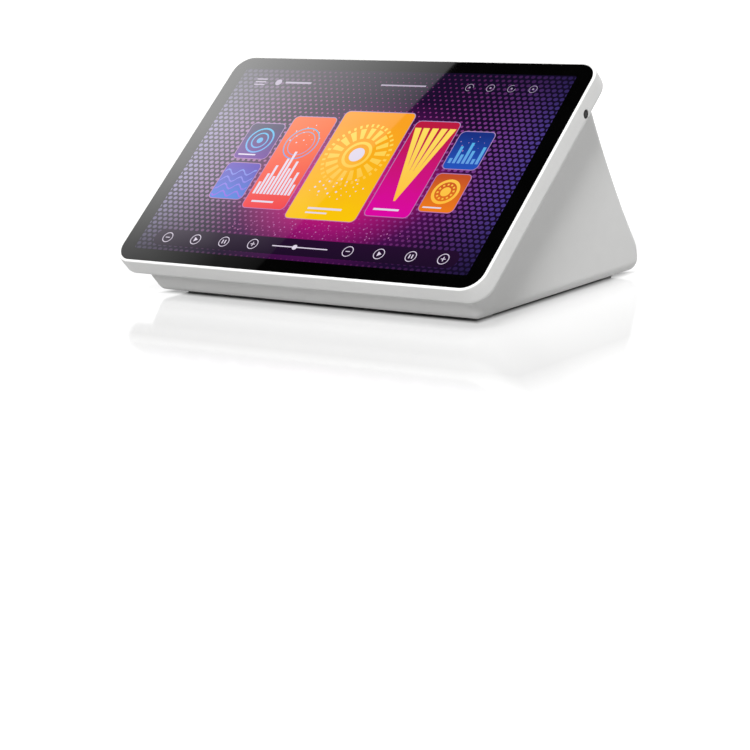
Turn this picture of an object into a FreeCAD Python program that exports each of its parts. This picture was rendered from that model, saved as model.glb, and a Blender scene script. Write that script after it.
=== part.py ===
import FreeCAD, Part
import math
import os
from types import SimpleNamespace

import Sketcher

# Driving sizes in millimetres, angles in degrees. Depths run back from the slab's front lip, heights up from
# the table, and a rise runs up the slab's slope from its lower edge.
SIZES = {
    # screen slab
    "slab_width": 292.0,
    "slab_length": 179.8,
    "slab_thickness": 14.1,
    "slab_tilt": 39.76,
    "slab_corner_round": 14.5,
    "slab_back_round": 3.6,
    "slab_back_wall": 2.2,
    "lip_width": 2.05,
    "lip_round": 0.6,
    "lip_height": 25.66,
    "window_inset": 51.0,
    "window_length": 96.0,
    # cover glass, its tape and the display
    "glass_thickness": 2.0,
    "glass_sink": 0.3,
    "glass_gap": 0.15,
    "glass_ledge": 6.0,
    "tape_thickness": 0.5,
    "tape_inset": 0.6,
    "display_gap": 1.4,
    "display_thickness": 4.5,
    "display_rim": 6.0,
    "display_dish": 0.6,
    "rail_inset": 38.0,
    "rail_length": 130.0,
    "rail_crown": 7.0,
    "rail_foot": 3.5,
    "rail_sheet": 0.8,
    "driver_length": 120.0,
    "driver_width": 16.0,
    "driver_thickness": 1.0,
    "driver_rise": 18.0,
    # side button and its switch
    "button_radius": 2.6,
    "button_rise": 145.6,
    "button_drop": 9.0,
    "button_sink": 0.2,
    "button_gap": 0.3,
    "button_dome": 0.5,
    "button_hole_depth": 3.0,
    "button_flange_radius": 3.5,
    "button_flange_thickness": 1.2,
    "button_stem_radius": 1.4,
    "button_stem_length": 3.8,
    "plunger_radius": 1.0,
    "plunger_length": 3.0,
    "plunger_gap": 0.15,
    "plunger_bore_depth": 2.6,
    "plunger_show": 1.4,
    "tact_length": 5.0,
    "tact_width": 6.0,
    "button_board_length": 12.0,
    "button_board_width": 12.0,
    "button_board_thickness": 1.0,
    # wedge housing
    "overall_depth": 195.0,
    "slab_overhang": 16.0,
    "base_wall": 2.5,
    "foot_height": 3.0,
    "knee_height": 18.5,
    "knee_reach": 4.4,
    "heel_round": 8.0,
    "toe_round": 7.0,
    "side_round": 6.0,
    "wall_curve": 660.0,
    "wall_top_rise": 176.0,
    "apron_rise": 4.7,
    "boss_radius": 3.6,
    "boss_length": 14.0,
    "boss_inset": 5.7,
    "boss_low_rise": 27.0,
    "boss_high_rise": 158.0,
    "frame_screw_radius": 1.5,
    "frame_screw_length": 10.0,
    "frame_screw_head_radius": 2.8,
    "frame_screw_head": 1.6,
    "screw_gap": 0.1,
    # connector bay
    "bay_width": 153.0,
    "bay_wall": 2.5,
    "bay_floor_height": 7.0,
    "bay_clear": 16.388,
    "bay_top_height": 37.0,
    "ledge_angle": 45.0,
    "ledge_reach": 8.0,
    "ledge_screw_slide": 7.8,
    "ledge_screw_spread": 140.8,
    "ledge_screw_radius": 1.5,
    "ledge_screw_length": 4.5,
    "ledge_screw_head_radius": 2.6,
    "ledge_screw_head": 1.0,
    "ledge_sink_radius": 2.9,
    "ledge_sink_depth": 1.4,
    # vent grille and fan
    "vent_width": 98.6,
    "vent_height": 37.9,
    "vent_middle_height": 81.0,
    "grille_gap": 0.2,
    "grille_proud": 0.1,
    "grille_flange": 3.0,
    "grille_flange_thickness": 1.5,
    "slot_pitch": 3.94,
    "slot_height": 1.65,
    "slot_nip": 0.5,
    "slot_inner_place": 7.1,
    "slot_inner_length": 10.9,
    "slot_dot_place": 20.4,
    "slot_dot_length": 1.65,
    "slot_dash_place": 24.0,
    "slot_dash_length": 2.3,
    "slot_short_place": 28.4,
    "slot_short_length": 3.6,
    "slot_outer_place": 38.6,
    "slot_outer_length": 10.5,
    "slot_rows": 9,
    "fan_size": 40.0,
    "fan_thickness": 10.0,
    "fan_drop": 1.5,
    "fan_corner_round": 3.0,
    "fan_bore_radius": 19.0,
    "fan_hole_pitch": 32.0,
    "fan_hole_radius": 1.6,
    "fan_plate_radius": 11.5,
    "fan_plate_thickness": 1.5,
    "fan_strut_width": 2.2,
    "fan_tube_radius": 2.6,
    "fan_tube_length": 6.0,
    "fan_shaft_radius": 1.0,
    "fan_shaft_gap": 0.1,
    "fan_end_gap": 0.3,
    "fan_hub_radius": 11.0,
    "fan_hub_wall": 1.0,
    "fan_hub_gap": 0.7,
    "fan_hub_height": 7.2,
    "fan_coil_radius": 9.0,
    "fan_coil_height": 4.5,
    "fan_coil_gap": 0.05,
    "blade_count": 7,
    "blade_root": 10.6,
    "blade_tip": 17.9,
    "blade_root_chord": 8.6,
    "blade_tip_chord": 9.2,
    "blade_root_angle": 40.0,
    "blade_tip_angle": 28.0,
    "blade_thickness": 0.9,
    "fan_screw_radius": 1.25,
    "fan_screw_bite": 3.2,
    "fan_screw_head_radius": 2.2,
    "fan_screw_head": 1.4,
    # connector panel
    "panel_thickness": 1.2,
    "panel_margin": 3.5,
    "panel_flange": 8.2,
    "panel_gap": 0.25,
    "panel_screw_radius": 1.3,
    "panel_screw_length": 5.0,
    "panel_screw_head_radius": 2.3,
    "panel_screw_head": 1.0,
    # mains inlet
    "inlet_place": 65.9,
    "inlet_height": 23.4,
    "inlet_wide": 16.3,
    "inlet_tall": 26.3,
    "inlet_rim": 0.8,
    "inlet_proud": 1.4,
    "inlet_depth": 18.0,
    "inlet_cavity": 13.0,
    "inlet_lobe_radius": 4.3,
    "inlet_pin_pitch": 10.0,
    "inlet_pin_offset": 2.4,
    "inlet_pin_radius": 1.2,
    "inlet_pin_length": 7.5,
    # rocker switch
    "switch_place": 64.2,
    "switch_height": 30.9,
    "switch_wide": 14.9,
    "switch_tall": 9.4,
    "switch_rim": 0.4,
    "switch_proud": 1.4,
    "switch_depth": 12.0,
    "switch_cavity": 7.5,
    "rocker_wide": 10.2,
    "rocker_tall": 6.2,
    "rocker_swing": 10.0,
    "rocker_gap": 0.8,
    "rocker_side_gap": 0.3,
    "rocker_crown": 2.2,
    "rocker_skirt": 1.5,
    "rocker_keel": 3.2,
    "rocker_keel_wide": 3.0,
    "rocker_pivot_radius": 0.9,
    "rocker_pivot_length": 0.8,
    "rocker_pivot_gap": 0.1,
    "rocker_pivot_depth": 0.6,
    # phono sockets
    "phono_place": 47.3,
    "phono_pitch": 14.0,
    "phono_low_height": 16.0,
    "phono_row_pitch": 13.7,
    "phono_shell_radius": 4.15,
    "phono_shell_wall": 0.6,
    "phono_shell_length": 8.0,
    "phono_ring_length": 7.4,
    "phono_ring_hole": 1.75,
    "phono_contact_wall": 0.45,
    "phono_contact_length": 6.6,
    "phono_fit": 0.05,
    "phono_block_margin": 6.6,
    "phono_block_depth": 16.0,
    "phono_screw_height": 22.8,
    "phono_screw_margin": 1.5,
    # optical output
    "optical_place": 19.0,
    "optical_wide": 10.9,
    "optical_tall": 11.6,
    "optical_depth": 14.0,
    "optical_proud": 0.6,
    "optical_hole_wide": 7.0,
    "optical_hole_tall": 6.6,
    "optical_cavity": 9.0,
    "optical_hole_rise": 0.3,
    "shutter_gap": 0.3,
    "shutter_thickness": 0.8,
    "shutter_set_back": 0.8,
    "shutter_pin_radius": 0.45,
    "shutter_pin_length": 0.8,
    "shutter_pin_gap": 0.1,
    "shutter_pin_depth": 0.9,
    # speaker outputs
    "speaker_place": -0.65,
    "speaker_pitch": 20.7,
    "speaker_height": 24.9,
    "speaker_wide": 13.5,
    "speaker_tall": 12.0,
    "speaker_depth": 14.0,
    "speaker_proud": 1.0,
    "speaker_wall": 1.2,
    "speaker_cavity": 10.0,
    "speaker_tab_wide": 15.0,
    "speaker_tab_thickness": 2.5,
    "speaker_tab_rise": 11.4,
    "speaker_screw_rise": 9.1,
    "speaker_pin_pitch": 6.1,
    "speaker_pin_side": 1.1,
    "speaker_pin_length": 7.5,
    # digital video output
    "video_place": -0.55,
    "video_wide": 15.0,
    "video_tall": 5.5,
    "video_wall": 0.5,
    "video_depth": 12.0,
    "video_proud": 0.8,
    "video_nip_wide": 1.9,
    "video_nip_tall": 2.2,
    "video_cavity": 9.0,
    "video_tongue_wide": 10.8,
    "video_tongue_tall": 1.3,
    "video_tongue_length": 8.0,
    # memory card slot
    "card_place": -20.0,
    "card_wide": 14.0,
    "card_tall": 2.0,
    "card_depth": 15.0,
    "card_slot_wide": 11.2,
    "card_slot_tall": 1.0,
    "card_slot_depth": 12.0,
    # stacked data ports
    "data_place": -40.5,
    "data_wide": 14.6,
    "data_tall": 16.1,
    "data_depth": 17.0,
    "data_proud": 0.8,
    "data_port_wide": 12.6,
    "data_port_tall": 5.4,
    "data_port_pitch": 7.8,
    "data_cavity": 12.0,
    "data_tongue_wide": 11.0,
    "data_tongue_tall": 1.9,
    "data_tongue_length": 10.0,
    "data_tongue_rise": 0.8,
    # network socket
    "net_place": -64.5,
    "net_wide": 16.5,
    "net_tall": 13.0,
    "net_depth": 20.0,
    "net_proud": 0.5,
    "net_hole_wide": 11.8,
    "net_hole_tall": 7.6,
    "net_hole_rise": 1.4,
    "net_notch_wide": 6.2,
    "net_notch_tall": 2.4,
    "net_cavity": 13.0,
    "net_lamp_wide": 2.8,
    "net_lamp_tall": 1.9,
    "net_lamp_depth": 6.0,
    "net_lamp_inset": 1.0,
    "net_lamp_drop": 0.8,
    "net_contact_side": 0.5,
    "net_contact_pitch": 1.27,
    "net_contact_length": 9.0,
    "net_contact_count": 8,
    # boards on the bottom plate
    "board_thickness": 1.6,
    "standoff_height": 3.7,
    "standoff_radius": 2.6,
    "board_screw_radius": 1.3,
    "board_screw_length": 4.6,
    "board_screw_head_radius": 2.4,
    "board_screw_head": 1.3,
    "board_hole_inset": 4.0,
    "main_left_inset": 27.0,
    "main_right_inset": 47.0,
    "main_length": 48.0,
    "main_rear_gap": 0.5,
    "main_hole_span": 20.0,
    "sink_wide": 46.0,
    "sink_length": 24.0,
    "sink_base": 3.0,
    "sink_fin_height": 14.0,
    "sink_fin_thickness": 1.4,
    "sink_fins": 9,
    "sink_left_inset": 25.0,
    "sink_front_gap": 2.5,
    "power_wide": 36.0,
    "power_right_inset": 7.0,
    "power_front": 44.0,
    "power_rear_gap": 24.0,
    "transformer_wide": 28.0,
    "transformer_length": 30.0,
    "transformer_tall": 18.0,
    "transformer_winding": 5.0,
    "transformer_front": 30.0,
    "capacitor_radius": 7.0,
    "capacitor_tall": 24.0,
    "capacitor_pitch": 15.5,
    "capacitor_front": 16.0,
    # song store
    "disk_wide": 50.8,
    "disk_length": 29.85,
    "disk_tall": 4.85,
    "disk_left_inset": 14.0,
    "disk_rear_gap": 3.0,
    "disk_lid_inset": 1.5,
    "disk_lid": 0.8,
    "bracket_sheet": 1.0,
    "bracket_wall": 4.6,
    "bracket_gap": 0.2,
    # bottom plate and feet
    "plate_inset": 27.0,
    "plate_front": 37.0,
    "plate_rear_gap": 11.0,
    "plate_thickness": 1.2,
    "plate_gap": 0.2,
    "plate_ledge": 7.0,
    "plate_slot_length": 40.0,
    "plate_slot_width": 2.5,
    "plate_slot_pitch": 7.0,
    "plate_slots": 5,
    "plate_slot_place": 33.0,
    "plate_boss_radius": 3.2,
    "plate_boss_height": 7.5,
    "plate_screw_inset": 3.6,
    "plate_screw_end": 8.0,
    "plate_screw_radius": 1.4,
    "plate_screw_length": 7.0,
    "plate_screw_head_radius": 2.4,
    "plate_screw_head": 1.2,
    "foot_top_radius": 7.6,
    "foot_radius": 6.5,
    "foot_stem_radius": 2.4,
    "foot_stem_length": 2.3,
    "foot_inset": 16.2,
    "foot_front": 46.0,
    "foot_rear_gap": 22.0,
    # how far a cut runs past the solid
    "overrun": 3.0,
}
NEAR = 0.001

document = FreeCAD.newDocument("karaoke_console")
sheet = document.addObject("Spreadsheet::Sheet", "Sizes")
for row, (name, number) in enumerate(SIZES.items(), start=1):
    sheet.set(f"A{row}", name)
    sheet.set(f"B{row}", str(number))
    sheet.setAlias(f"B{row}", name)
document.recompute()


class Size:
    """A size that carries its value and the sheet expression that gives it."""

    def __init__(self, value, text):
        self.value = value
        self.text = text

    def __add__(self, other):
        other = as_size(other)
        return Size(self.value + other.value, f"({self.text} + {other.text})")

    def __sub__(self, other):
        other = as_size(other)
        return Size(self.value - other.value, f"({self.text} - {other.text})")

    def __mul__(self, other):
        other = as_size(other)
        return Size(self.value * other.value, f"({self.text} * {other.text})")

    def __truediv__(self, other):
        other = as_size(other)
        return Size(self.value / other.value, f"({self.text} / {other.text})")

    def __neg__(self):
        return Size(-self.value, f"(0 - {self.text})")

    def __rsub__(self, other):
        return as_size(other) - self

    __radd__ = __add__
    __rmul__ = __mul__


def as_size(item):
    return item if isinstance(item, Size) else Size(float(item), str(float(item)))


def sine(angle):
    return Size(math.sin(math.radians(angle.value)), f"sin({angle.text})")


def cosine(angle):
    return Size(math.cos(math.radians(angle.value)), f"cos({angle.text})")


def tangent(angle):
    return Size(math.tan(math.radians(angle.value)), f"tan({angle.text})")


def root(item):
    return Size(math.sqrt(item.value), f"sqrt({item.text})")


s = SimpleNamespace(**{name: Size(float(number), "Sizes." + name) for name, number in SIZES.items()})
NODES = {}


def keep(item, label):
    """Names a finished sub-part, whose label is its file's name."""
    item.Label = label
    NODES[label] = item
    return item


# Drawing and feature helpers

def vector(x, y, z):
    return FreeCAD.Vector(as_size(x).value, as_size(y).value, as_size(z).value)


def turned(axis, angle):
    return FreeCAD.Placement(FreeCAD.Vector(), FreeCAD.Rotation(FreeCAD.Vector(*axis), as_size(angle).value))


lip_front = s.lip_round * (cosine(s.slab_tilt) + sine(s.slab_tilt) - 1)
middle_depth = (s.overall_depth + lip_front) / 2


def upright(x, y, z):
    """A place in the part's frame, whose origin is under the middle of the part."""
    return FreeCAD.Placement(vector(x, y - middle_depth, z), FreeCAD.Rotation())


def on_slab(x, rise, out):
    """A place on the tilted slab: across, up its slope, and out of its face."""
    depth = rise * cosine(s.slab_tilt) - out * sine(s.slab_tilt)
    height = s.lip_height + rise * sine(s.slab_tilt) + out * cosine(s.slab_tilt)
    return upright(x, depth, height).multiply(turned((1, 0, 0), s.slab_tilt))


def new_body(name):
    return document.addObject("PartDesign::Body", name)


def origin_part(body, role):
    return next(item for item in body.Origin.OriginFeatures if item.Role == role)


def new_sketch(body, role, lift):
    sketch = body.newObject("Sketcher::SketchObject", "outline")
    sketch.AttachmentSupport = (origin_part(body, role), [""])
    sketch.MapMode = "FlatFace"
    sketch.setExpression(".AttachmentOffset.Base.z", as_size(lift).text)
    return sketch


def tie(sketch, kind, part, point, item):
    """Binds one coordinate or radius of a drawn line to the sheet."""
    item = as_size(item)
    if point:
        index = sketch.addConstraint(Sketcher.Constraint(kind, part, point, item.value))
    else:
        index = sketch.addConstraint(Sketcher.Constraint(kind, part, item.value))
    sketch.setExpression(f"Constraints[{index}]", item.text)


def hollow_arc(start, end, radius):
    """The arc that sags to the left of the way from start to end."""
    middle = (start + end) / 2
    way = (end - start) / 2
    side = FreeCAD.Vector(way.y, -way.x, 0).normalize()
    centre = middle + side * math.sqrt(radius ** 2 - way.Length ** 2)
    first = math.atan2(end.y - centre.y, end.x - centre.x)
    last = math.atan2(start.y - centre.y, start.x - centre.x)
    return Part.ArcOfCircle(Part.Circle(centre, FreeCAD.Vector(0, 0, 1), radius), first, last)


def swollen_arc(start, end, radius):
    """The arc that swells to the right of the way from start to end."""
    way = (end - start) / 2
    side = FreeCAD.Vector(-way.y, way.x, 0).normalize()
    centre = (start + end) / 2 + side * math.sqrt(radius ** 2 - way.Length ** 2)
    first = math.atan2(start.y - centre.y, start.x - centre.x)
    last = math.atan2(end.y - centre.y, end.x - centre.x)
    return Part.ArcOfCircle(Part.Circle(centre, FreeCAD.Vector(0, 0, 1), radius), first, last)


def polygon(points, hollow=None, swollen=None):
    """A closed outline. Sides in hollow sag inwards, sides in swollen bow outwards, with the radius given."""
    hollow = hollow or {}
    swollen = swollen or {}

    def draw(sketch):
        count = len(points)
        spots = [FreeCAD.Vector(as_size(x).value, as_size(y).value, 0) for x, y in points]
        first = sketch.GeometryCount
        ends = []
        for k in range(count):
            start, end = spots[k], spots[(k + 1) % count]
            if k in hollow:
                sketch.addGeometry(hollow_arc(start, end, hollow[k].value), False)
            elif k in swollen:
                sketch.addGeometry(swollen_arc(start, end, swollen[k].value), False)
            else:
                sketch.addGeometry(Part.LineSegment(start, end), False)
            ends.append((2, 1) if k in hollow else (1, 2))
        for k in range(count):
            after = (k + 1) % count
            joint = Sketcher.Constraint("Coincident", first + k, ends[k][1], first + after, ends[after][0])
            sketch.addConstraint(joint)
        for k, (x, y) in enumerate(points):
            tie(sketch, "DistanceX", first + k, ends[k][0], x)
            tie(sketch, "DistanceY", first + k, ends[k][0], y)
        for k, radius in {**hollow, **swollen}.items():
            tie(sketch, "Radius", first + k, 0, radius)
    return draw


def round_rectangle(left, low, right, high, radius):
    """A rectangle with four round corners."""
    points = [(left + radius, low), (right - radius, low), (right, low + radius), (right, high - radius),
              (right - radius, high), (left + radius, high), (left, high - radius), (left, low + radius)]
    return polygon(points, swollen={1: radius, 3: radius, 5: radius, 7: radius})


def rectangle(left, low, right, high):
    return polygon([(left, low), (right, low), (right, high), (left, high)])


def middle_rectangle(wide, tall, x=0, y=0):
    return rectangle(x - wide / 2, y - tall / 2, x + wide / 2, y + tall / 2)


def ring(radius, x=0, y=0):
    def draw(sketch):
        centre = FreeCAD.Vector(as_size(x).value, as_size(y).value, 0)
        circle = Part.Circle(centre, FreeCAD.Vector(0, 0, 1), as_size(radius).value)
        part = sketch.addGeometry(circle, False)
        tie(sketch, "DistanceX", part, 3, x)
        tie(sketch, "DistanceY", part, 3, y)
        tie(sketch, "Radius", part, 0, radius)
    return draw


def feature(body, kind, role, outlines, lift, length, side="One side", reverse=False):
    sketch = new_sketch(body, role, lift)
    for draw in outlines:
        draw(sketch)
    made = body.newObject("PartDesign::" + kind, kind.lower())
    made.Profile = sketch
    made.setExpression("Length", as_size(length).text)
    made.SideType = side
    made.Reversed = reverse
    document.recompute()
    return made


def raise_up(body, outline, base, height):
    """Adds a block on a level outline, from base upwards."""
    return feature(body, "Pad", "XY_Plane", [outline], base, height)


def cut_down(body, outlines, top, depth):
    """Cuts level outlines from top downwards."""
    return feature(body, "Pocket", "XY_Plane", outlines, top, depth)


def cut_up(body, outlines, base, depth):
    """Cuts level outlines from base upwards."""
    return feature(body, "Pocket", "XY_Plane", outlines, base, depth, reverse=True)


def add_across(body, outline, wide):
    """Adds a side outline, as wide to the left as to the right."""
    return feature(body, "Pad", "YZ_Plane", [outline], 0, wide, side="Symmetric")


def cut_across(body, outline, wide):
    return feature(body, "Pocket", "YZ_Plane", [outline], 0, wide, side="Symmetric")


def add_inward(body, outline, rear, depth):
    """Adds a rear outline, from rear towards the front."""
    return feature(body, "Pad", "XZ_Plane", [outline], -as_size(rear), depth)


def cut_inward(body, outlines, rear, depth):
    """Cuts rear outlines, from rear towards the front."""
    return feature(body, "Pocket", "XZ_Plane", outlines, -as_size(rear), depth, reverse=True)


def round_edges(body, radius, chosen):
    """Rounds the edges of the body so far that the test chooses."""
    base = body.Tip
    names = [f"Edge{k}" for k, edge in enumerate(base.Shape.Edges, start=1) if chosen(edge)]
    made = body.newObject("PartDesign::Fillet", "round")
    made.Base = (base, names)
    made.setExpression("Radius", as_size(radius).text)
    document.recompute()
    return made


def runs_along(edge, axis):
    """Whether an edge is straight and runs along one axis, 0 to 2."""
    if not isinstance(edge.Curve, Part.Line):
        return False
    way = edge.tangentAt(edge.FirstParameter)
    return abs(abs(way[axis]) - 1) < NEAR


def lies_at(edge, axis, item):
    """Whether a whole edge lies at one place along an axis."""
    box = edge.BoundBox
    low = (box.XMin, box.YMin, box.ZMin)[axis]
    high = (box.XMax, box.YMax, box.ZMax)[axis]
    goal = as_size(item).value
    return abs(low - goal) < NEAR and abs(high - goal) < NEAR


def cylinder(radius, height, place):
    made = document.addObject("Part::Cylinder", "cylinder")
    made.setExpression("Radius", as_size(radius).text)
    made.setExpression("Height", as_size(height).text)
    made.Placement = place
    return made


def box(long, wide, tall, place):
    made = document.addObject("Part::Box", "box")
    made.setExpression("Length", as_size(long).text)
    made.setExpression("Width", as_size(wide).text)
    made.setExpression("Height", as_size(tall).text)
    made.Placement = place
    return made


def fused(items):
    made = document.addObject("Part::MultiFuse", "fused")
    made.Shapes = items
    made.Refine = True
    return made


def cut(item, tools):
    made = document.addObject("Part::Cut", "cut")
    made.Base = item
    made.Tool = tools[0] if len(tools) == 1 else fused(tools)
    made.Refine = True
    return made


def group(items):
    """Separate solids that share one node."""
    made = document.addObject("Part::Compound", "group")
    made.Links = items
    return made


def tube(radius, hole, length, place):
    bore = cylinder(hole, length + 2 * s.overrun, place.multiply(upright_shift(0, 0, -s.overrun)))
    return cut(cylinder(radius, length, place), [bore])


def upright_shift(x, y, z):
    return FreeCAD.Placement(vector(x, y, z), FreeCAD.Rotation())


def screws(places, radius, length, head_radius, head):
    """Pan-head screws. Each place is under the head, with its Z axis out of the head."""
    made = []
    for place in places:
        shank = cylinder(radius, length + head / 2, place.multiply(upright_shift(0, 0, -length)))
        made.append(fused([shank, cylinder(head_radius, head, place)]))
    return group(made)


# Screen frame: a moulded slab with a thin lip, a seat for the glass, a bay for the display and a rear window
slab_half = s.slab_width / 2
base_width = s.slab_width - 2 * s.slab_overhang
seat_depth = s.glass_sink + s.glass_thickness + s.tape_thickness
bay_inset = s.lip_width + s.glass_ledge
display_back = s.glass_sink + s.glass_thickness + s.display_thickness
bay_depth = s.slab_thickness - s.slab_back_wall


def slab_outline(inset):
    """The slab's outline moved in, its corners still concentric."""
    return round_rectangle(inset - slab_half, inset, slab_half - inset, s.slab_length - inset,
                           s.slab_corner_round - inset)


def slab_rectangle(inset):
    return rectangle(inset - slab_half, inset, slab_half - inset, s.slab_length - inset)


boss_x = base_width / 2 - s.boss_inset
boss_rises = [s.boss_low_rise, (s.boss_low_rise + s.boss_high_rise) / 2, s.boss_high_rise]
boss_spots = [(side * boss_x, rise) for side in (-1, 1) for rise in boss_rises]

frame = new_body("frame_body")
raise_up(frame, slab_outline(as_size(0)), -s.slab_thickness, s.slab_thickness)
round_edges(frame, s.slab_back_round, lambda edge: lies_at(edge, 2, -s.slab_thickness))
cut_down(frame, [slab_outline(s.lip_width)], 0, seat_depth)
cut_down(frame, [slab_outline(bay_inset)], 0, bay_depth)
window_width = s.slab_width - 2 * s.window_inset
window = middle_rectangle(window_width, s.window_length, 0, s.slab_length / 2)
cut_down(frame, [window], 0, s.slab_thickness + s.overrun)
holes = [ring(s.frame_screw_radius + s.screw_gap, x, rise) for x, rise in boss_spots]
cut_down(frame, holes, 0, s.slab_thickness + s.overrun)
button_hole = s.button_radius + s.button_gap
feature(frame, "Pocket", "YZ_Plane", [ring(button_hole, s.button_rise, -s.button_drop)],
        slab_half + s.overrun, s.overrun + s.button_hole_depth + s.overrun)
feature(frame, "Pocket", "YZ_Plane",
        [ring(s.button_flange_radius + s.button_gap, s.button_rise, -s.button_drop)],
        slab_half - s.button_hole_depth, bay_inset - s.button_hole_depth + s.overrun)
round_edges(frame, s.lip_round, lambda edge: lies_at(edge, 2, 0))
frame.Placement = on_slab(0, 0, as_size(0))
keep(frame, "screen_frame")

# Cover glass and the tape ring that bonds it
glass = new_body("glass_body")
glass_inset = s.lip_width + s.glass_gap
raise_up(glass, slab_outline(glass_inset), -(s.glass_sink + s.glass_thickness), s.glass_thickness)
glass.Placement = on_slab(0, as_size(0), as_size(0))
keep(glass, "touch_glass")

tape = new_body("tape_body")
tape_outer = s.lip_width + s.tape_inset
raise_up(tape, slab_outline(tape_outer), -seat_depth, s.tape_thickness)
cut_down(tape, [slab_outline(bay_inset)], 0, seat_depth + s.overrun)
tape.Placement = on_slab(0, as_size(0), as_size(0))
keep(tape, "glass_tape")

# Display module, the two hat rails that hold it up to the glass, and its driver board
display = new_body("display_body")
display_inset = bay_inset + s.display_gap
raise_up(display, slab_outline(display_inset), s.display_dish - display_back,
         s.display_thickness - s.display_dish)
raise_up(display, slab_rectangle(display_inset + s.display_rim), -display_back, s.display_dish)
display.Placement = on_slab(0, as_size(0), as_size(0))
keep(display, "display_panel")


def hat_rail(side):
    rail = new_body("rail_body")
    crown, sheet_, tall = s.rail_crown / 2, s.rail_sheet, bay_depth - display_back
    foot = crown + s.rail_foot
    inner = crown - sheet_
    outline = [(-foot, 0), (-inner, 0), (-inner, tall - sheet_), (inner, tall - sheet_), (inner, 0),
               (foot, 0), (foot, sheet_), (crown, sheet_), (crown, tall), (-crown, tall),
               (-crown, sheet_), (-foot, sheet_)]
    feature(rail, "Pad", "XZ_Plane", [polygon(outline)], 0, s.rail_length, side="Symmetric")
    rail.Placement = on_slab(side * (slab_half - s.rail_inset), s.slab_length / 2, -bay_depth)
    return rail


keep(group([hat_rail(-1), hat_rail(1)]), "display_rails")
driver_place = on_slab(-s.driver_length / 2, s.driver_rise, -display_back - s.driver_thickness)
keep(box(s.driver_length, s.driver_width, s.driver_thickness, driver_place), "driver_board")

# Screws that hold the slab to the wedge, driven from the display bay
frame_places = [on_slab(x, rise, -bay_depth) for x, rise in boss_spots]
keep(screws(frame_places, s.frame_screw_radius, s.frame_screw_length, s.frame_screw_head_radius,
            s.frame_screw_head), "frame_screws")

# Side button: cap, flange and stem in one moulding, a plunger, and the small switch it presses
button_place = on_slab(slab_half, s.button_rise, -s.button_drop).multiply(turned((0, 1, 0), 90))
flange_top = -(s.button_hole_depth + s.button_gap)
flange_low = flange_top - s.button_flange_thickness
stem_low = flange_low - s.button_stem_length
button = new_body("button_body")
raise_up(button, ring(s.button_radius), flange_top, -s.button_sink - flange_top)
round_edges(button, s.button_dome, lambda edge: lies_at(edge, 2, -s.button_sink))
raise_up(button, ring(s.button_flange_radius), flange_low, s.button_flange_thickness)
raise_up(button, ring(s.button_stem_radius), stem_low, s.button_stem_length)
button.Placement = button_place
keep(button, "side_button")
plunger_place = button_place.multiply(upright_shift(0, 0, stem_low - s.plunger_length))
keep(cylinder(s.plunger_radius, s.plunger_length, plunger_place), "button_plunger")

tact = new_body("tact_body")
tact_face = stem_low - s.plunger_show
tact_tall = 2 * (bay_depth - s.button_board_thickness - s.button_drop)
raise_up(tact, middle_rectangle(tact_tall, s.tact_width), tact_face - s.tact_length, s.tact_length)
cut_down(tact, [ring(s.plunger_radius + s.plunger_gap)], tact_face, s.plunger_bore_depth)
tact.Placement = button_place
keep(tact, "button_switch")
button_board_place = on_slab(slab_half - bay_inset - s.button_board_length,
                             s.button_rise - s.button_board_width / 2, -bay_depth)
keep(box(s.button_board_length, s.button_board_width, s.button_board_thickness, button_board_place),
     "button_board")

# Wedge housing: a shell open to the slab, with its rear wall hollowed and a walled bay for the connectors
back_y = s.slab_thickness * sine(s.slab_tilt)
back_z = s.lip_height - s.slab_thickness * cosine(s.slab_tilt)


def on_back(rise, out=0):
    """Depth and height of a point of the slab's back plane, or out of it."""
    y = back_y + rise * cosine(s.slab_tilt) - out * sine(s.slab_tilt)
    z = back_z + rise * sine(s.slab_tilt) + out * cosine(s.slab_tilt)
    return y, z


apron_y, apron_z = on_back(s.apron_rise)
toe_y = apron_y + (apron_z - s.foot_height) * tangent(s.slab_tilt)
crest_y, crest_z = on_back(s.wall_top_rise)
heel_y = s.overall_depth
chord_y, chord_z = heel_y - crest_y, crest_z - s.knee_height
chord = root(chord_y * chord_y + chord_z * chord_z)
wall_shift = s.base_wall * chord / chord_z
knee_round = s.knee_reach * chord_y / (chord - chord_z)
panel_y = heel_y - (s.bay_top_height - s.knee_height) * chord_y / chord_z - s.bay_clear
ledge_rise = s.bay_wall / cosine(s.ledge_angle)
ledge_slope = tangent(s.ledge_angle)

shell = new_body("shell_body")
outer = [(apron_y, apron_z), (toe_y, s.foot_height), (heel_y, s.foot_height), (heel_y, s.knee_height),
         (crest_y, crest_z)]
add_across(shell, polygon(outer, {3: s.wall_curve}), base_width)


def runs_across_at(y, z):
    def chosen(edge):
        return runs_along(edge, 0) and lies_at(edge, 1, y) and lies_at(edge, 2, z)
    return chosen


round_edges(shell, s.toe_round, runs_across_at(toe_y, s.foot_height))
round_edges(shell, s.heel_round, runs_across_at(heel_y, s.foot_height))
round_edges(shell, knee_round, runs_across_at(heel_y, s.knee_height))
slope = FreeCAD.Vector(0, cosine(s.slab_tilt).value, sine(s.slab_tilt).value)


def side_rim(edge):
    """Edges of the two flat sides, but for those that meet the slab."""
    on_side = lies_at(edge, 0, base_width / 2) or lies_at(edge, 0, -base_width / 2)
    if not on_side:
        return False
    straight = isinstance(edge.Curve, Part.Line)
    return not (straight and abs(abs(edge.tangentAt(edge.FirstParameter).dot(slope)) - 1) < NEAR)


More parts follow.
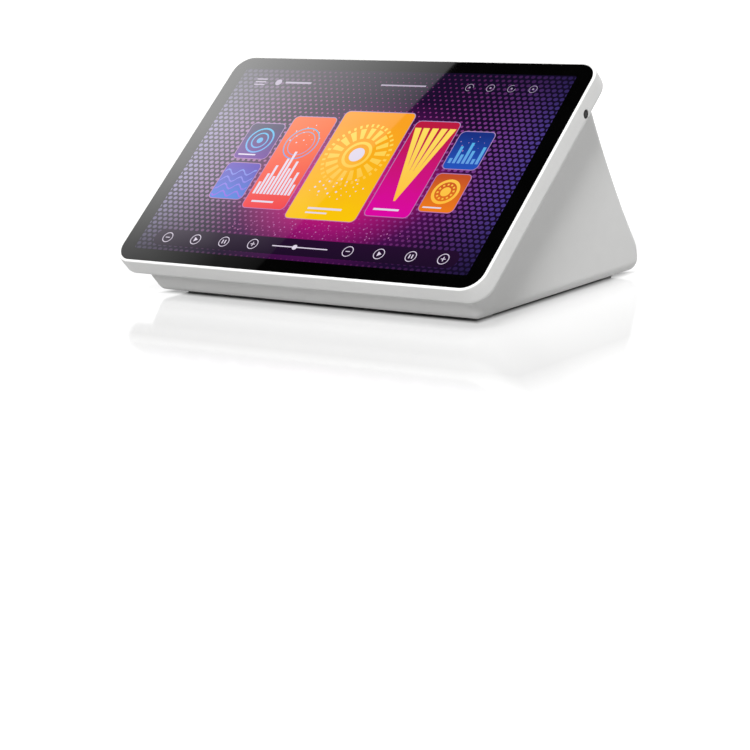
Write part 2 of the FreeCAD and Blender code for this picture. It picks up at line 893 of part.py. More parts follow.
round_edges(shell, s.side_round, side_rim)
floor_z = s.foot_height + s.base_wall
inner_front = s.apron_rise + s.base_wall
front_y, front_z = on_back(inner_front)
open_front = on_back(inner_front, s.overrun)
inner_toe_y = front_y + (front_z - floor_z) * tangent(s.slab_tilt)
open_crest = (crest_y - wall_shift - s.overrun * sine(s.slab_tilt), crest_z + s.overrun * cosine(s.slab_tilt))
cavity = [open_front, (inner_toe_y, floor_z), (heel_y - s.heel_round, floor_z),
          (heel_y - wall_shift, s.foot_height + s.heel_round), (heel_y - wall_shift, s.knee_height),
          (crest_y - wall_shift, crest_z), open_crest]
cut_across(shell, polygon(cavity, {4: s.wall_curve}), base_width - 2 * s.base_wall)

far_y = heel_y + s.overrun
mid_wall = s.base_wall / 2
bay_block = [(panel_y, s.foot_height + mid_wall), (heel_y - s.heel_round, s.foot_height + mid_wall),
             (heel_y - mid_wall, s.foot_height + s.heel_round), (heel_y - mid_wall, s.knee_height),
             (panel_y + s.ledge_reach, s.bay_top_height + ledge_rise + s.ledge_reach * ledge_slope),
             (panel_y, s.bay_top_height + ledge_rise)]
add_across(shell, polygon(bay_block), s.bay_width + 2 * s.bay_wall)
bay_void = [(panel_y - s.overrun, s.bay_floor_height), (far_y, s.bay_floor_height),
            (far_y, s.bay_top_height + (far_y - panel_y) * ledge_slope), (panel_y, s.bay_top_height),
            (panel_y - s.overrun, s.bay_top_height)]
cut_across(shell, polygon(bay_void), s.bay_width)

plate_half = base_width / 2 - s.plate_inset
plate_rear = panel_y - s.plate_rear_gap
plate_top = s.foot_height + s.plate_thickness
rebate = rectangle(-plate_half - s.plate_gap, s.plate_front - s.plate_gap, plate_half + s.plate_gap,
                   plate_rear + s.plate_gap)
cut_up(shell, [rebate], s.foot_height - s.overrun, s.overrun + s.plate_thickness)
hatch = rectangle(s.plate_ledge - plate_half, s.plate_front + s.plate_ledge, plate_half - s.plate_ledge,
                  plate_rear - s.plate_ledge)
cut_up(shell, [hatch], s.foot_height - s.overrun, s.overrun + s.base_wall + s.overrun)
shell.Placement = upright(0, as_size(0), 0)

# The rear wall's own frame at the vent: across, up the wall, and into the housing
wall_start = FreeCAD.Vector(heel_y.value, s.knee_height.value, 0)
wall_end = FreeCAD.Vector(crest_y.value, crest_z.value, 0)
wall_centre = hollow_arc(wall_start, wall_end, s.wall_curve.value).Center
wall_lean = math.degrees(math.asin((wall_centre.y - s.vent_middle_height.value) / s.wall_curve.value))
vent_y = wall_centre.x - s.wall_curve.value * math.cos(math.radians(wall_lean))


def on_wall(x, up, depth):
    middle = upright(0, as_size(vent_y), s.vent_middle_height).multiply(turned((1, 0, 0), 90 + wall_lean))
    return middle.multiply(upright_shift(x, up, depth))


bosses = [cylinder(s.boss_radius, s.boss_length, on_slab(x, rise, -s.slab_thickness - s.boss_length))
          for x, rise in boss_spots]
boss_holes = [cylinder(s.frame_screw_radius + s.screw_gap, s.frame_screw_length + s.overrun,
                       on_slab(x, rise, -bay_depth - s.frame_screw_length - s.screw_gap))
              for x, rise in boss_spots]
plate_screw_x = plate_half - s.plate_screw_inset
plate_screw_ys = [s.plate_front + s.plate_screw_end, (s.plate_front + plate_rear) / 2,
                  plate_rear - s.plate_screw_end]
plate_spots = [(side * plate_screw_x, y) for side in (-1, 1) for y in plate_screw_ys]
bosses += [cylinder(s.plate_boss_radius, s.plate_boss_height, upright(x, y, plate_top))
           for x, y in plate_spots]
plate_hole = s.plate_screw_radius + s.screw_gap
boss_holes += [cylinder(plate_hole, s.plate_screw_length + s.screw_gap, upright(x, y, s.foot_height))
               for x, y in plate_spots]
foot_x = base_width / 2 - s.foot_inset
foot_spots = [(side * foot_x, y) for side in (-1, 1) for y in (s.foot_front, heel_y - s.foot_rear_gap)]
boss_holes += [cylinder(s.foot_stem_radius + s.screw_gap, s.base_wall + 2 * s.overrun,
                        upright(x, y, s.foot_height - s.overrun)) for x, y in foot_spots]

ledge_turn = turned((1, 0, 0), s.ledge_angle - 180)
ledge_y = panel_y + (s.ledge_screw_slide * cosine(s.ledge_angle)) - s.ledge_sink_depth * sine(s.ledge_angle)
ledge_z = (s.bay_top_height + s.ledge_screw_slide * sine(s.ledge_angle)
           + s.ledge_sink_depth * cosine(s.ledge_angle))
ledge_places = [upright(side * s.ledge_screw_spread / 2, ledge_y, ledge_z).multiply(ledge_turn)
                for side in (-1, 0, 1)]
for place in ledge_places:
    boss_holes.append(cylinder(s.ledge_sink_radius, s.ledge_sink_depth + s.overrun, place))
    boss_holes.append(cylinder(s.ledge_screw_radius + s.screw_gap, s.bay_wall + s.overrun,
                               place.multiply(upright_shift(0, 0, -s.bay_wall))))
boss_holes.append(box(s.vent_width, s.vent_height, s.base_wall + 4 * s.overrun,
                      on_wall(-s.vent_width / 2, -s.vent_height / 2, -2 * s.overrun)))
keep(cut(fused([shell] + bosses), boss_holes), "base_housing")

# Vent grille: a flat insert with rows of long and short slots, and a flange behind the wall
grille = new_body("grille_body")
seat_z = s.base_wall + s.grille_gap
fan_z = seat_z + s.grille_flange_thickness
vent_wide, vent_tall = s.vent_width - 2 * s.grille_gap, s.vent_height - 2 * s.grille_gap
raise_up(grille, middle_rectangle(vent_wide, vent_tall), -s.grille_proud, s.grille_proud + fan_z)
raise_up(grille, middle_rectangle(s.vent_width + 2 * s.grille_flange, s.vent_height + 2 * s.grille_flange),
         seat_z, s.grille_flange_thickness)


def slot(place, length, row):
    """A slot with its ends nipped to eight sides."""
    half, tall, nip = length / 2, s.slot_height / 2, s.slot_nip
    return polygon([(place - half + nip, row - tall), (place + half - nip, row - tall),
                    (place + half, row - tall + nip), (place + half, row + tall - nip),
                    (place + half - nip, row + tall), (place - half + nip, row + tall),
                    (place - half, row + tall - nip), (place - half, row - tall + nip)])


first_row = -s.slot_pitch * (s.slot_rows - 1) / 2
columns = [(s.slot_inner_place, s.slot_inner_length), (s.slot_dot_place, s.slot_dot_length),
           (s.slot_dash_place, s.slot_dash_length), (s.slot_short_place, s.slot_short_length),
           (s.slot_outer_place, s.slot_outer_length)]
row_slots = [slot(side * place, length, first_row) for place, length in columns for side in (-1, 1)]
slot_row = cut_down(grille, row_slots, fan_z, fan_z + s.grille_proud + s.overrun)
rows = grille.newObject("PartDesign::LinearPattern", "rows")
rows.Originals = [slot_row]
rows.Direction = (slot_row.Profile[0], ["V_Axis"])
rows.setExpression("Length", (s.slot_pitch * (s.slot_rows - 1)).text)
rows.setExpression("Occurrences", s.slot_rows.text)
grille.Tip = rows
document.recompute()
fan_pitch = s.fan_hole_pitch / 2
fan_spots = [(x * fan_pitch, y * fan_pitch - s.fan_drop) for x in (-1, 1) for y in (-1, 1)]
cut_down(grille, [ring(s.fan_screw_radius + s.screw_gap, x, y) for x, y in fan_spots], fan_z,
         s.fan_screw_bite + s.screw_gap)
grille.Placement = on_wall(0, 0, 0)
keep(grille, "vent_grille")

# Fan: frame with a motor plate on struts, coil, rotor with lofted blades, and its screws
fan_frame = new_body("fan_body")
raise_up(fan_frame, middle_rectangle(s.fan_size, s.fan_size), 0, s.fan_thickness)
round_edges(fan_frame, s.fan_corner_round, lambda edge: runs_along(edge, 2))
cut_down(fan_frame, [ring(s.fan_bore_radius)], s.fan_thickness, s.fan_thickness + s.overrun)
corner_holes = [ring(s.fan_hole_radius, x * fan_pitch, y * fan_pitch) for x in (-1, 1) for y in (-1, 1)]
cut_down(fan_frame, corner_holes, s.fan_thickness, s.fan_thickness + s.overrun)
strut = s.fan_size - (s.fan_size / 2 - s.fan_bore_radius)
raise_up(fan_frame, middle_rectangle(strut, s.fan_strut_width), 0, s.fan_plate_thickness)
raise_up(fan_frame, middle_rectangle(s.fan_strut_width, strut), 0, s.fan_plate_thickness)
raise_up(fan_frame, ring(s.fan_plate_radius), 0, s.fan_plate_thickness)
raise_up(fan_frame, ring(s.fan_tube_radius), s.fan_plate_thickness, s.fan_tube_length)
cut_down(fan_frame, [ring(s.fan_shaft_radius + s.fan_shaft_gap)], s.fan_plate_thickness + s.fan_tube_length,
         s.fan_tube_length)
fan_place = on_wall(0, -s.fan_drop, fan_z)
fan_frame.Placement = fan_place
keep(fan_frame, "fan_frame")
coil_place = fan_place.multiply(upright_shift(0, 0, s.fan_plate_thickness + s.fan_hub_gap))
keep(tube(s.fan_coil_radius, s.fan_tube_radius + s.fan_coil_gap, s.fan_coil_height, coil_place), "fan_coil")

rotor = new_body("rotor_body")
hub_low = s.fan_plate_thickness + s.fan_hub_gap
hub_high = hub_low + s.fan_hub_height
cup_floor = hub_high - s.fan_hub_wall
shaft_low = s.fan_plate_thickness + s.fan_end_gap
cup_inner = s.fan_hub_radius - s.fan_hub_wall
hub_outline = [(0, shaft_low), (s.fan_shaft_radius, shaft_low), (s.fan_shaft_radius, cup_floor),
               (cup_inner, cup_floor), (cup_inner, hub_low), (s.fan_hub_radius, hub_low),
               (s.fan_hub_radius, hub_high), (0, hub_high)]
hub_sketch = new_sketch(rotor, "XZ_Plane", 0)
polygon(hub_outline)(hub_sketch)
hub = rotor.newObject("PartDesign::Revolution", "hub")
hub.Profile = hub_sketch
hub.ReferenceAxis = (hub_sketch, ["V_Axis"])
hub.Angle = 360
document.recompute()


def blade_section(lift, chord, angle):
    """A thin sloping section, square to a radius."""
    along = (chord / 2 * cosine(angle), chord / 2 * sine(angle))
    across = (s.blade_thickness / 2 * sine(angle), s.blade_thickness / 2 * cosine(angle))
    middle = (hub_low + hub_high) / 2
    section = new_sketch(rotor, "YZ_Plane", lift)
    polygon([(-along[0] + across[0], middle - along[1] - across[1]),
             (along[0] + across[0], middle + along[1] - across[1]),
             (along[0] - across[0], middle + along[1] + across[1]),
             (-along[0] - across[0], middle - along[1] + across[1])])(section)
    return section


blade_root = blade_section(s.blade_root, s.blade_root_chord, s.blade_root_angle)
blade_tip = blade_section(s.blade_tip, s.blade_tip_chord, s.blade_tip_angle)
blade = rotor.newObject("PartDesign::AdditiveLoft", "blade")
blade.Profile = blade_root
blade.Sections = [blade_tip]
blade.Ruled = True
document.recompute()
blades = rotor.newObject("PartDesign::PolarPattern", "blades")
blades.Originals = [blade]
blades.Axis = (hub_sketch, ["V_Axis"])
blades.Angle = 360
blades.setExpression("Occurrences", s.blade_count.text)
rotor.Tip = blades
document.recompute()
rotor.Placement = fan_place
keep(rotor, "fan_rotor")
fan_places = [on_wall(x, y, fan_z + s.fan_thickness) for x, y in fan_spots]
keep(screws(fan_places, s.fan_screw_radius, s.fan_thickness + s.fan_screw_bite, s.fan_screw_head_radius,
            s.fan_screw_head), "fan_screws")

# Connector panel: a folded plate, with a flange screwed up behind the bay's ledge
panel = new_body("panel_body")
flange_cos, flange_sin = cosine(s.ledge_angle), sine(s.ledge_angle)
bend_z = s.bay_top_height + ledge_rise
sheet_in = s.panel_thickness
fold = [(panel_y - sheet_in, floor_z), (panel_y, floor_z), (panel_y, bend_z),
        (panel_y + s.panel_flange * flange_cos, bend_z + s.panel_flange * flange_sin),
        (panel_y + s.panel_flange * flange_cos - sheet_in * flange_sin,
         bend_z + s.panel_flange * flange_sin + sheet_in * flange_cos),
        (panel_y - sheet_in, bend_z - sheet_in * ledge_slope + sheet_in / flange_cos)]
add_across(panel, polygon(fold), s.bay_width + 2 * s.panel_margin)

board_low = plate_top + s.standoff_height
board_top = board_low + s.board_thickness
phono_high = s.phono_low_height + s.phono_row_pitch
phono_low_spots = [(s.phono_place - k * s.phono_pitch, s.phono_low_height) for k in range(2)]
phono_high_spots = [(s.phono_place - k * s.phono_pitch, phono_high) for k in range(3)]
phono_spots = phono_low_spots + phono_high_spots
speaker_xs = [s.speaker_place, s.speaker_place - s.speaker_pitch]
speaker_screw_z = s.speaker_height + s.speaker_screw_rise
panel_spots = [(s.phono_place - s.phono_pitch / 2, s.phono_screw_height),
               (s.phono_place - s.phono_pitch * 3 / 2, s.phono_screw_height)]
panel_spots += [(x, speaker_screw_z) for x in speaker_xs]
optical_z = board_top + s.optical_tall / 2
video_z = board_top + s.video_tall / 2
card_z = board_top + s.card_tall / 2
data_z = board_top + s.data_tall / 2
net_z = board_top + s.net_tall / 2


def panel_hole(wide, tall, x, z):
    return middle_rectangle(wide + 2 * s.panel_gap, tall + 2 * s.panel_gap, x, z)


through = s.panel_thickness + s.overrun
cut_inward(panel, [panel_hole(s.inlet_wide - 2 * s.inlet_rim, s.inlet_tall - 2 * s.inlet_rim, s.inlet_place,
                              s.inlet_height),
                   panel_hole(s.switch_wide - 2 * s.switch_rim, s.switch_tall - 2 * s.switch_rim,
                              -s.switch_place, s.switch_height)], panel_y, through)
cut_inward(panel, [panel_hole(s.optical_wide, s.optical_tall, s.optical_place, optical_z),
                   panel_hole(s.data_wide, s.data_tall, s.data_place, data_z),
                   panel_hole(s.net_wide, s.net_tall, s.net_place, net_z)], panel_y, through)
cut_inward(panel, [panel_hole(s.speaker_wide, s.speaker_tall, x, s.speaker_height) for x in speaker_xs],
           panel_y, through)
cut_inward(panel, [panel_hole(s.video_wide, s.video_tall, s.video_place, video_z),
                   panel_hole(s.card_wide, s.card_tall, s.card_place, card_z)], panel_y, through)
cut_inward(panel, [ring(s.phono_shell_radius + s.panel_gap, x, z) for x, z in phono_spots], panel_y, through)
cut_inward(panel, [ring(s.panel_screw_radius + s.screw_gap, x, z) for x, z in panel_spots], panel_y, through)
panel.Placement = upright(0, as_size(0), 0)
flange_holes = [cylinder(s.ledge_screw_radius + s.screw_gap, s.ledge_screw_length + s.overrun,
                         place.multiply(upright_shift(0, 0, -s.ledge_screw_length - s.overrun)))
                for place in ledge_places]
keep(cut(panel, flange_holes), "connector_panel")
keep(screws(ledge_places, s.ledge_screw_radius, s.ledge_screw_length, s.ledge_screw_head_radius,
            s.ledge_screw_head), "ledge_screws")
rearward = turned((1, 0, 0), -90)
panel_places = [upright(x, panel_y, z).multiply(rearward) for x, z in panel_spots]
keep(screws(panel_places, s.panel_screw_radius, s.panel_screw_length, s.panel_screw_head_radius,
            s.panel_screw_head), "panel_screws")

# Mains inlet: a flanged block with three joined round lobes, and its pins
inlet = new_body("inlet_body")
add_inward(inlet, middle_rectangle(s.inlet_wide, s.inlet_tall), s.inlet_proud, s.inlet_proud)
add_inward(inlet, middle_rectangle(s.inlet_wide - 2 * s.inlet_rim, s.inlet_tall - 2 * s.inlet_rim), 0,
           s.inlet_depth)
pin_spots = [(s.inlet_pin_offset, s.inlet_pin_pitch / 2), (s.inlet_pin_offset, -s.inlet_pin_pitch / 2),
             (-s.inlet_pin_offset, as_size(0))]
for x, z in pin_spots:
    cut_inward(inlet, [ring(s.inlet_lobe_radius, x, z)], s.inlet_proud, s.inlet_cavity)
inlet.Placement = upright(s.inlet_place, panel_y, s.inlet_height)
keep(inlet, "power_inlet")
pin_y = panel_y + s.inlet_proud - s.inlet_cavity
keep(group([cylinder(s.inlet_pin_radius, s.inlet_pin_length,
                     upright(s.inlet_place + x, pin_y, s.inlet_height + z).multiply(rearward))
            for x, z in pin_spots]), "inlet_pins")

# Rocker switch: a flanged block, and a rocker on two stub pivots that stands tilted
switch = new_body("switch_body")
switch_cavity_tall = s.rocker_tall + 2 * s.rocker_side_gap
add_inward(switch, middle_rectangle(s.switch_wide, s.switch_tall), s.switch_proud, s.switch_proud)
add_inward(switch, middle_rectangle(s.switch_wide - 2 * s.switch_rim, s.switch_tall - 2 * s.switch_rim), 0,
           s.switch_depth)
cut_inward(switch, [middle_rectangle(s.rocker_wide + 2 * s.rocker_gap, switch_cavity_tall)], s.switch_proud,
           s.switch_cavity)
feature(switch, "Pocket", "XY_Plane", [ring(s.rocker_pivot_radius + s.rocker_pivot_gap)], 0,
        switch_cavity_tall + 2 * s.rocker_pivot_depth, side="Symmetric")
switch_place = upright(-s.switch_place, panel_y, s.switch_height)
switch.Placement = switch_place
keep(switch, "switch_body")

rocker = new_body("rocker_body")
rocker_half, keel_half = s.rocker_wide / 2, s.rocker_keel_wide / 2
valley = s.rocker_crown - rocker_half * tangent(s.rocker_swing)
skirt = s.rocker_crown - 2 * s.rocker_skirt
feature(rocker, "Pad", "XY_Plane",
        [polygon([(rocker_half, s.rocker_crown), (0, valley), (-rocker_half, s.rocker_crown),
                  (-rocker_half, skirt), (-keel_half, -s.rocker_keel), (keel_half, -s.rocker_keel),
                  (rocker_half, skirt)])], 0, s.rocker_tall, side="Symmetric")
feature(rocker, "Pad", "XY_Plane", [ring(s.rocker_pivot_radius)], 0,
        s.rocker_tall + 2 * s.rocker_pivot_length, side="Symmetric")
rocker.Placement = switch_place.multiply(turned((0, 0, 1), s.rocker_swing))
keep(rocker, "power_rocker")

# Phono sockets: five plated barrels with coloured rings and centre contacts, on one moulded block
block = new_body("phono_body")
block_right = s.phono_place + s.phono_block_margin
block_mid = s.phono_place - s.phono_pitch - s.phono_block_margin
block_left = block_mid - s.phono_pitch
block_step = s.phono_screw_height - s.phono_screw_margin
block_high = phono_high + s.phono_block_margin
add_inward(block, polygon([(block_mid, board_top), (block_right, board_top), (block_right, block_high),
                           (block_left, block_high), (block_left, block_step), (block_mid, block_step)]),
           -s.panel_thickness, s.phono_block_depth)
cut_inward(block, [ring(s.panel_screw_radius + s.screw_gap, x, z) for x, z in panel_spots[:2]],
           -s.panel_thickness, s.panel_screw_length)
block.Placement = upright(0, panel_y, 0)
keep(block, "phono_block")

phono_base = panel_y - s.panel_thickness
ring_radius = s.phono_shell_radius - s.phono_shell_wall - s.phono_fit
shell_bore = s.phono_shell_radius - s.phono_shell_wall


def phono_tubes(spots, radius, hole, length):
    """Tubes that stand on the block's face and reach past the panel by the length."""
    return group([tube(radius, hole, length + s.panel_thickness, upright(x, phono_base, z).multiply(rearward))
                  for x, z in spots])


keep(phono_tubes(phono_spots, s.phono_shell_radius, shell_bore, s.phono_shell_length), "phono_shells")
keep(phono_tubes(phono_high_spots[:2], ring_radius, s.phono_ring_hole, s.phono_ring_length),
     "phono_rings_white")
keep(phono_tubes(phono_low_spots, ring_radius, s.phono_ring_hole, s.phono_ring_length), "phono_rings_red")
keep(phono_tubes(phono_high_spots[2:], ring_radius, s.phono_ring_hole, s.phono_ring_length),
     "phono_ring_yellow")
contact_radius = s.phono_ring_hole - s.phono_fit
keep(phono_tubes(phono_spots, contact_radius, contact_radius - s.phono_contact_wall, s.phono_contact_length),
     "phono_contacts")

# Optical output: a square socket with a spring flap on two stub pins
optical = new_body("optical_body")
optical_half = s.optical_hole_tall / 2
add_inward(optical, middle_rectangle(s.optical_wide, s.optical_tall), s.optical_proud, s.optical_depth)
cut_inward(optical, [middle_rectangle(s.optical_hole_wide, s.optical_hole_tall, 0, s.optical_hole_rise)],
           s.optical_proud, s.optical_cavity)
hinge_y = s.optical_proud - s.shutter_set_back - s.shutter_thickness / 2
hinge_drop = s.shutter_thickness * 3 / 4 + s.shutter_gap
hinge_z = s.optical_hole_rise + optical_half - hinge_drop
feature(optical, "Pocket", "YZ_Plane", [ring(s.shutter_pin_radius + s.shutter_pin_gap, hinge_y, hinge_z)], 0,
        s.optical_hole_wide + 2 * s.shutter_pin_depth, side="Symmetric")
optical_place = upright(s.optical_place, panel_y, optical_z)
optical.Placement = optical_place
keep(optical, "optical_socket")

flap = new_body("flap_body")
flap_half = s.shutter_thickness / 2
flap_low = hinge_drop + s.shutter_gap - s.optical_hole_tall
feature(flap, "Pad", "YZ_Plane", [rectangle(-flap_half, flap_low, flap_half, flap_half)], 0,
        s.optical_hole_wide - 2 * s.shutter_gap, side="Symmetric")
pins_wide = s.optical_hole_wide - 2 * s.shutter_gap + 2 * s.shutter_pin_length
feature(flap, "Pad", "YZ_Plane", [ring(s.shutter_pin_radius)], 0, pins_wide, side="Symmetric")
flap.Placement = optical_place.multiply(upright_shift(0, hinge_y, hinge_z))
keep(flap, "optical_shutter")


# Speaker outputs: two boxes with a screwed tab, and their pins
def speaker_socket(x):
    socket = new_body("speaker_body")
    wall = 2 * s.speaker_wall
    tab_low = -s.speaker_tall / 2
    add_inward(socket, middle_rectangle(s.speaker_wide, s.speaker_tall), s.speaker_proud, s.speaker_depth)
    tab_half = s.speaker_tab_wide / 2
    add_inward(socket, rectangle(-tab_half, tab_low, tab_half, s.speaker_tab_rise), -s.panel_thickness,
               s.speaker_tab_thickness)
    cut_inward(socket, [middle_rectangle(s.speaker_wide - wall, s.speaker_tall - wall)], s.speaker_proud,
               s.speaker_cavity)
    cut_inward(socket, [ring(s.panel_screw_radius + s.screw_gap, 0, s.speaker_screw_rise)], 0,
               s.speaker_depth)
    socket.Placement = upright(x, panel_y, s.speaker_height)
    return socket


keep(group([speaker_socket(x) for x in speaker_xs]), "speaker_sockets")
speaker_pin_y = panel_y + s.speaker_proud - s.speaker_cavity
pin_half = s.speaker_pin_side / 2
keep(group([box(s.speaker_pin_side, s.speaker_pin_length, s.speaker_pin_side,
                upright(x + side * s.speaker_pin_pitch / 2 - pin_half, speaker_pin_y,
                        s.speaker_height - pin_half))
            for x in speaker_xs for side in (-1, 1)]), "speaker_pins")


# Digital video output: a folded shell with its lower corners drawn in, and a tongue
def video_outline(inset):
    half, tall = s.video_wide / 2 - inset, s.video_tall / 2 - inset
    in_x, up_z = half - s.video_nip_wide, s.video_nip_tall - tall
    return polygon([(-in_x, -tall), (in_x, -tall), (half, up_z), (half, tall), (-half, tall), (-half, up_z)])


video = new_body("video_body")
add_inward(video, video_outline(as_size(0)), s.video_proud, s.video_depth)
cut_inward(video, [video_outline(s.video_wall)], s.video_proud, s.video_cavity)
video.Placement = upright(s.video_place, panel_y, video_z)
keep(video, "video_shell")
video_tongue_y = panel_y + s.video_proud - s.video_cavity
video_tongue_place = upright(s.video_place - s.video_tongue_wide / 2, video_tongue_y,
                             video_z - s.video_tongue_tall / 2)
keep(box(s.video_tongue_wide, s.video_tongue_length, s.video_tongue_tall, video_tongue_place), "video_tongue")

# Memory card slot
card = new_body("card_body")
add_inward(card, middle_rectangle(s.card_wide, s.card_tall), 0, s.card_depth)
cut_inward(card, [middle_rectangle(s.card_slot_wide, s.card_slot_tall)], 0, s.card_slot_depth)
card.Placement = upright(s.card_place, panel_y, card_z)
keep(card, "card_slot")

# Two stacked data ports in one shell, with their tongues
data = new_body("data_body")
port_zs = [-s.data_port_pitch / 2, s.data_port_pitch / 2]
add_inward(data, middle_rectangle(s.data_wide, s.data_tall), s.data_proud, s.data_depth)
cut_inward(data, [middle_rectangle(s.data_port_wide, s.data_port_tall, 0, z) for z in port_zs], s.data_proud,
           s.data_cavity)
data.Placement = upright(s.data_place, panel_y, data_z)
keep(data, "data_port_shell")
data_tongue_y = panel_y + s.data_proud - s.data_cavity
keep(group([box(s.data_tongue_wide, s.data_tongue_length, s.data_tongue_tall,
                upright(s.data_place - s.data_tongue_wide / 2, data_tongue_y, data_z + z + s.data_tongue_rise
                        - s.data_tongue_tall / 2)) for z in port_zs]), "data_port_tongues")

# Network socket: a notched opening under two lamps, with eight contacts
net = new_body("net_body")
net_low = -s.net_tall / 2
hole_low = net_low + s.net_hole_rise
hole_high = hole_low + s.net_hole_tall
add_inward(net, middle_rectangle(s.net_wide, s.net_tall), s.net_proud, s.net_depth)
hole_half, notch_half = s.net_hole_wide / 2, s.net_notch_wide / 2
cut_inward(net, [polygon([(-hole_half, hole_low), (hole_half, hole_low), (hole_half, hole_high),
                          (notch_half, hole_high), (notch_half, hole_high + s.net_notch_tall),
                          (-notch_half, hole_high + s.net_notch_tall), (-notch_half, hole_high),
                          (-hole_half, hole_high)])], s.net_proud, s.net_cavity)
lamp_x = s.net_wide / 2 - s.net_lamp_inset - s.net_lamp_wide / 2
lamp_z = s.net_tall / 2 - s.net_lamp_drop - s.net_lamp_tall / 2
lamp_fit = 2 * s.phono_fit
lamp_hole = (s.net_lamp_wide + lamp_fit, s.net_lamp_tall + lamp_fit)
cut_inward(net, [middle_rectangle(*lamp_hole, side * lamp_x, lamp_z) for side in (-1, 1)], s.net_proud,
           s.net_lamp_depth)
net.Placement = upright(s.net_place, panel_y, net_z)
keep(net, "network_jack")
for side, label in ((1, "network_lamp_amber"), (-1, "network_lamp_green")):
    lamp_place = upright(s.net_place + side * lamp_x - s.net_lamp_wide / 2,
                         panel_y + s.net_proud - s.net_lamp_depth, net_z + lamp_z - s.net_lamp_tall / 2)
    keep(box(s.net_lamp_wide, s.net_lamp_depth, s.net_lamp_tall, lamp_place), label)
first_contact = s.net_place - s.net_contact_pitch * (s.net_contact_count - 1) / 2 - s.net_contact_side / 2
contact_y = panel_y + s.net_proud - s.net_cavity
contact_z = net_z + hole_low + 2 * s.net_contact_side
keep(group([box(s.net_contact_side, s.net_contact_length, s.net_contact_side,
                upright(first_contact + k * s.net_contact_pitch, contact_y, contact_z))
            for k in range(round(s.net_contact_count.value))]), "network_contacts")

# Main board, power board and their standoffs, screws and large components
main_rear = panel_y - s.panel_thickness - s.main_rear_gap
main_front = main_rear - s.main_length
main_left, main_right = s.main_left_inset - plate_half, plate_half - s.main_right_inset
power_rear = panel_y - s.power_rear_gap
power_right = plate_half - s.power_right_inset
power_left = power_right - s.power_wide
hole_in = s.board_hole_inset
main_spots = [(x, y) for x in (main_left + hole_in, main_right - hole_in)
              for y in (main_front + hole_in, main_front + hole_in + s.main_hole_span)]
power_spots = [(x, y) for x in (power_left + hole_in, power_right - hole_in)
               for y in (s.power_front + hole_in, power_rear - hole_in)]
board_hole = s.board_screw_radius + s.screw_gap


def circuit_board(left, front, right, rear, spots):
    board = new_body("board_body")
    raise_up(board, rectangle(left, front, right, rear), board_low, s.board_thickness)
    cut_down(board, [ring(board_hole, x, y) for x, y in spots], board_top, s.board_thickness + s.overrun)
    board.Placement = upright(0, as_size(0), 0)
    return board


keep(circuit_board(main_left, main_front, main_right, main_rear, main_spots), "main_board")
keep(circuit_board(power_left, s.power_front, power_right, power_rear, power_spots), "power_board")
keep(group([tube(s.standoff_radius, board_hole, s.standoff_height, upright(x, y, plate_top))
            for x, y in main_spots + power_spots]), "standoffs")
keep(screws([upright(x, y, board_top) for x, y in main_spots + power_spots], s.board_screw_radius,
            s.board_screw_length, s.board_screw_head_radius, s.board_screw_head), "board_screws")

heat_sink = new_body("heat_sink_body")
raise_up(heat_sink, middle_rectangle(s.sink_wide, s.sink_length), 0, s.sink_base)
fin_left = -s.sink_wide / 2
fin = raise_up(heat_sink, rectangle(fin_left, -s.sink_length / 2, fin_left + s.sink_fin_thickness,
                                    s.sink_length / 2), s.sink_base, s.sink_fin_height)
fins = heat_sink.newObject("PartDesign::LinearPattern", "fins")
fins.Originals = [fin]
fins.Direction = (fin.Profile[0], ["H_Axis"])
fins.setExpression("Length", (s.sink_wide - s.sink_fin_thickness).text)
fins.setExpression("Occurrences", s.sink_fins.text)
heat_sink.Tip = fins
document.recompute()
sink_x = main_left + s.sink_left_inset + s.sink_wide / 2
heat_sink.Placement = upright(sink_x, main_front + s.sink_front_gap + s.sink_length / 2, board_top)
keep(heat_sink, "heat_sink")

power_x = (power_left + power_right) / 2
transformer = new_body("transformer_body")
core_length = s.transformer_length - 3 * s.transformer_winding
raise_up(transformer, middle_rectangle(s.transformer_wide, core_length), 0, s.transformer_tall)
raise_up(transformer, middle_rectangle(s.transformer_wide - s.transformer_winding, s.transformer_length), 0,
         s.transformer_tall - s.transformer_winding / 2)
transformer_y = s.power_front + s.transformer_front + s.transformer_length / 2
transformer.Placement = upright(power_x, transformer_y, board_top)
keep(transformer, "power_transformer")
capacitor_y = s.power_front + s.capacitor_front
keep(group([cylinder(s.capacitor_radius, s.capacitor_tall,
                     upright(power_x + side * s.capacitor_pitch / 2, capacitor_y, board_top))
            for side in (-1, 1)]), "power_capacitors")

# Song store: a flat solid-state drive in a folded cradle
disk_x = s.disk_left_inset - plate_half + s.disk_wide / 2
disk_y = main_front - s.disk_rear_gap - s.disk_length / 2
cradle = new_body("cradle_body")
cradle_in = s.disk_wide / 2 + s.bracket_gap
cradle_out = cradle_in + s.bracket_sheet
feature(cradle, "Pad", "XZ_Plane",
        [polygon([(-cradle_out, 0), (cradle_out, 0), (cradle_out, s.bracket_wall),
                  (cradle_in, s.bracket_wall), (cradle_in, s.bracket_sheet), (-cradle_in, s.bracket_sheet),
                  (-cradle_in, s.bracket_wall), (-cradle_out, s.bracket_wall)])], 0, s.disk_length,
        side="Symmetric")
cradle.Placement = upright(disk_x, disk_y, plate_top)
keep(cradle, "disk_bracket")
disk = new_body("disk_body")
raise_up(disk, middle_rectangle(s.disk_wide, s.disk_length), 0, s.disk_tall - s.disk_lid)
raise_up(disk, middle_rectangle(s.disk_wide - 2 * s.disk_lid_inset, s.disk_length - 2 * s.disk_lid_inset),
         s.disk_tall - s.disk_lid, s.disk_lid)
disk.Placement = upright(disk_x, disk_y, plate_top + s.bracket_sheet)
keep(disk, "disk_drive")

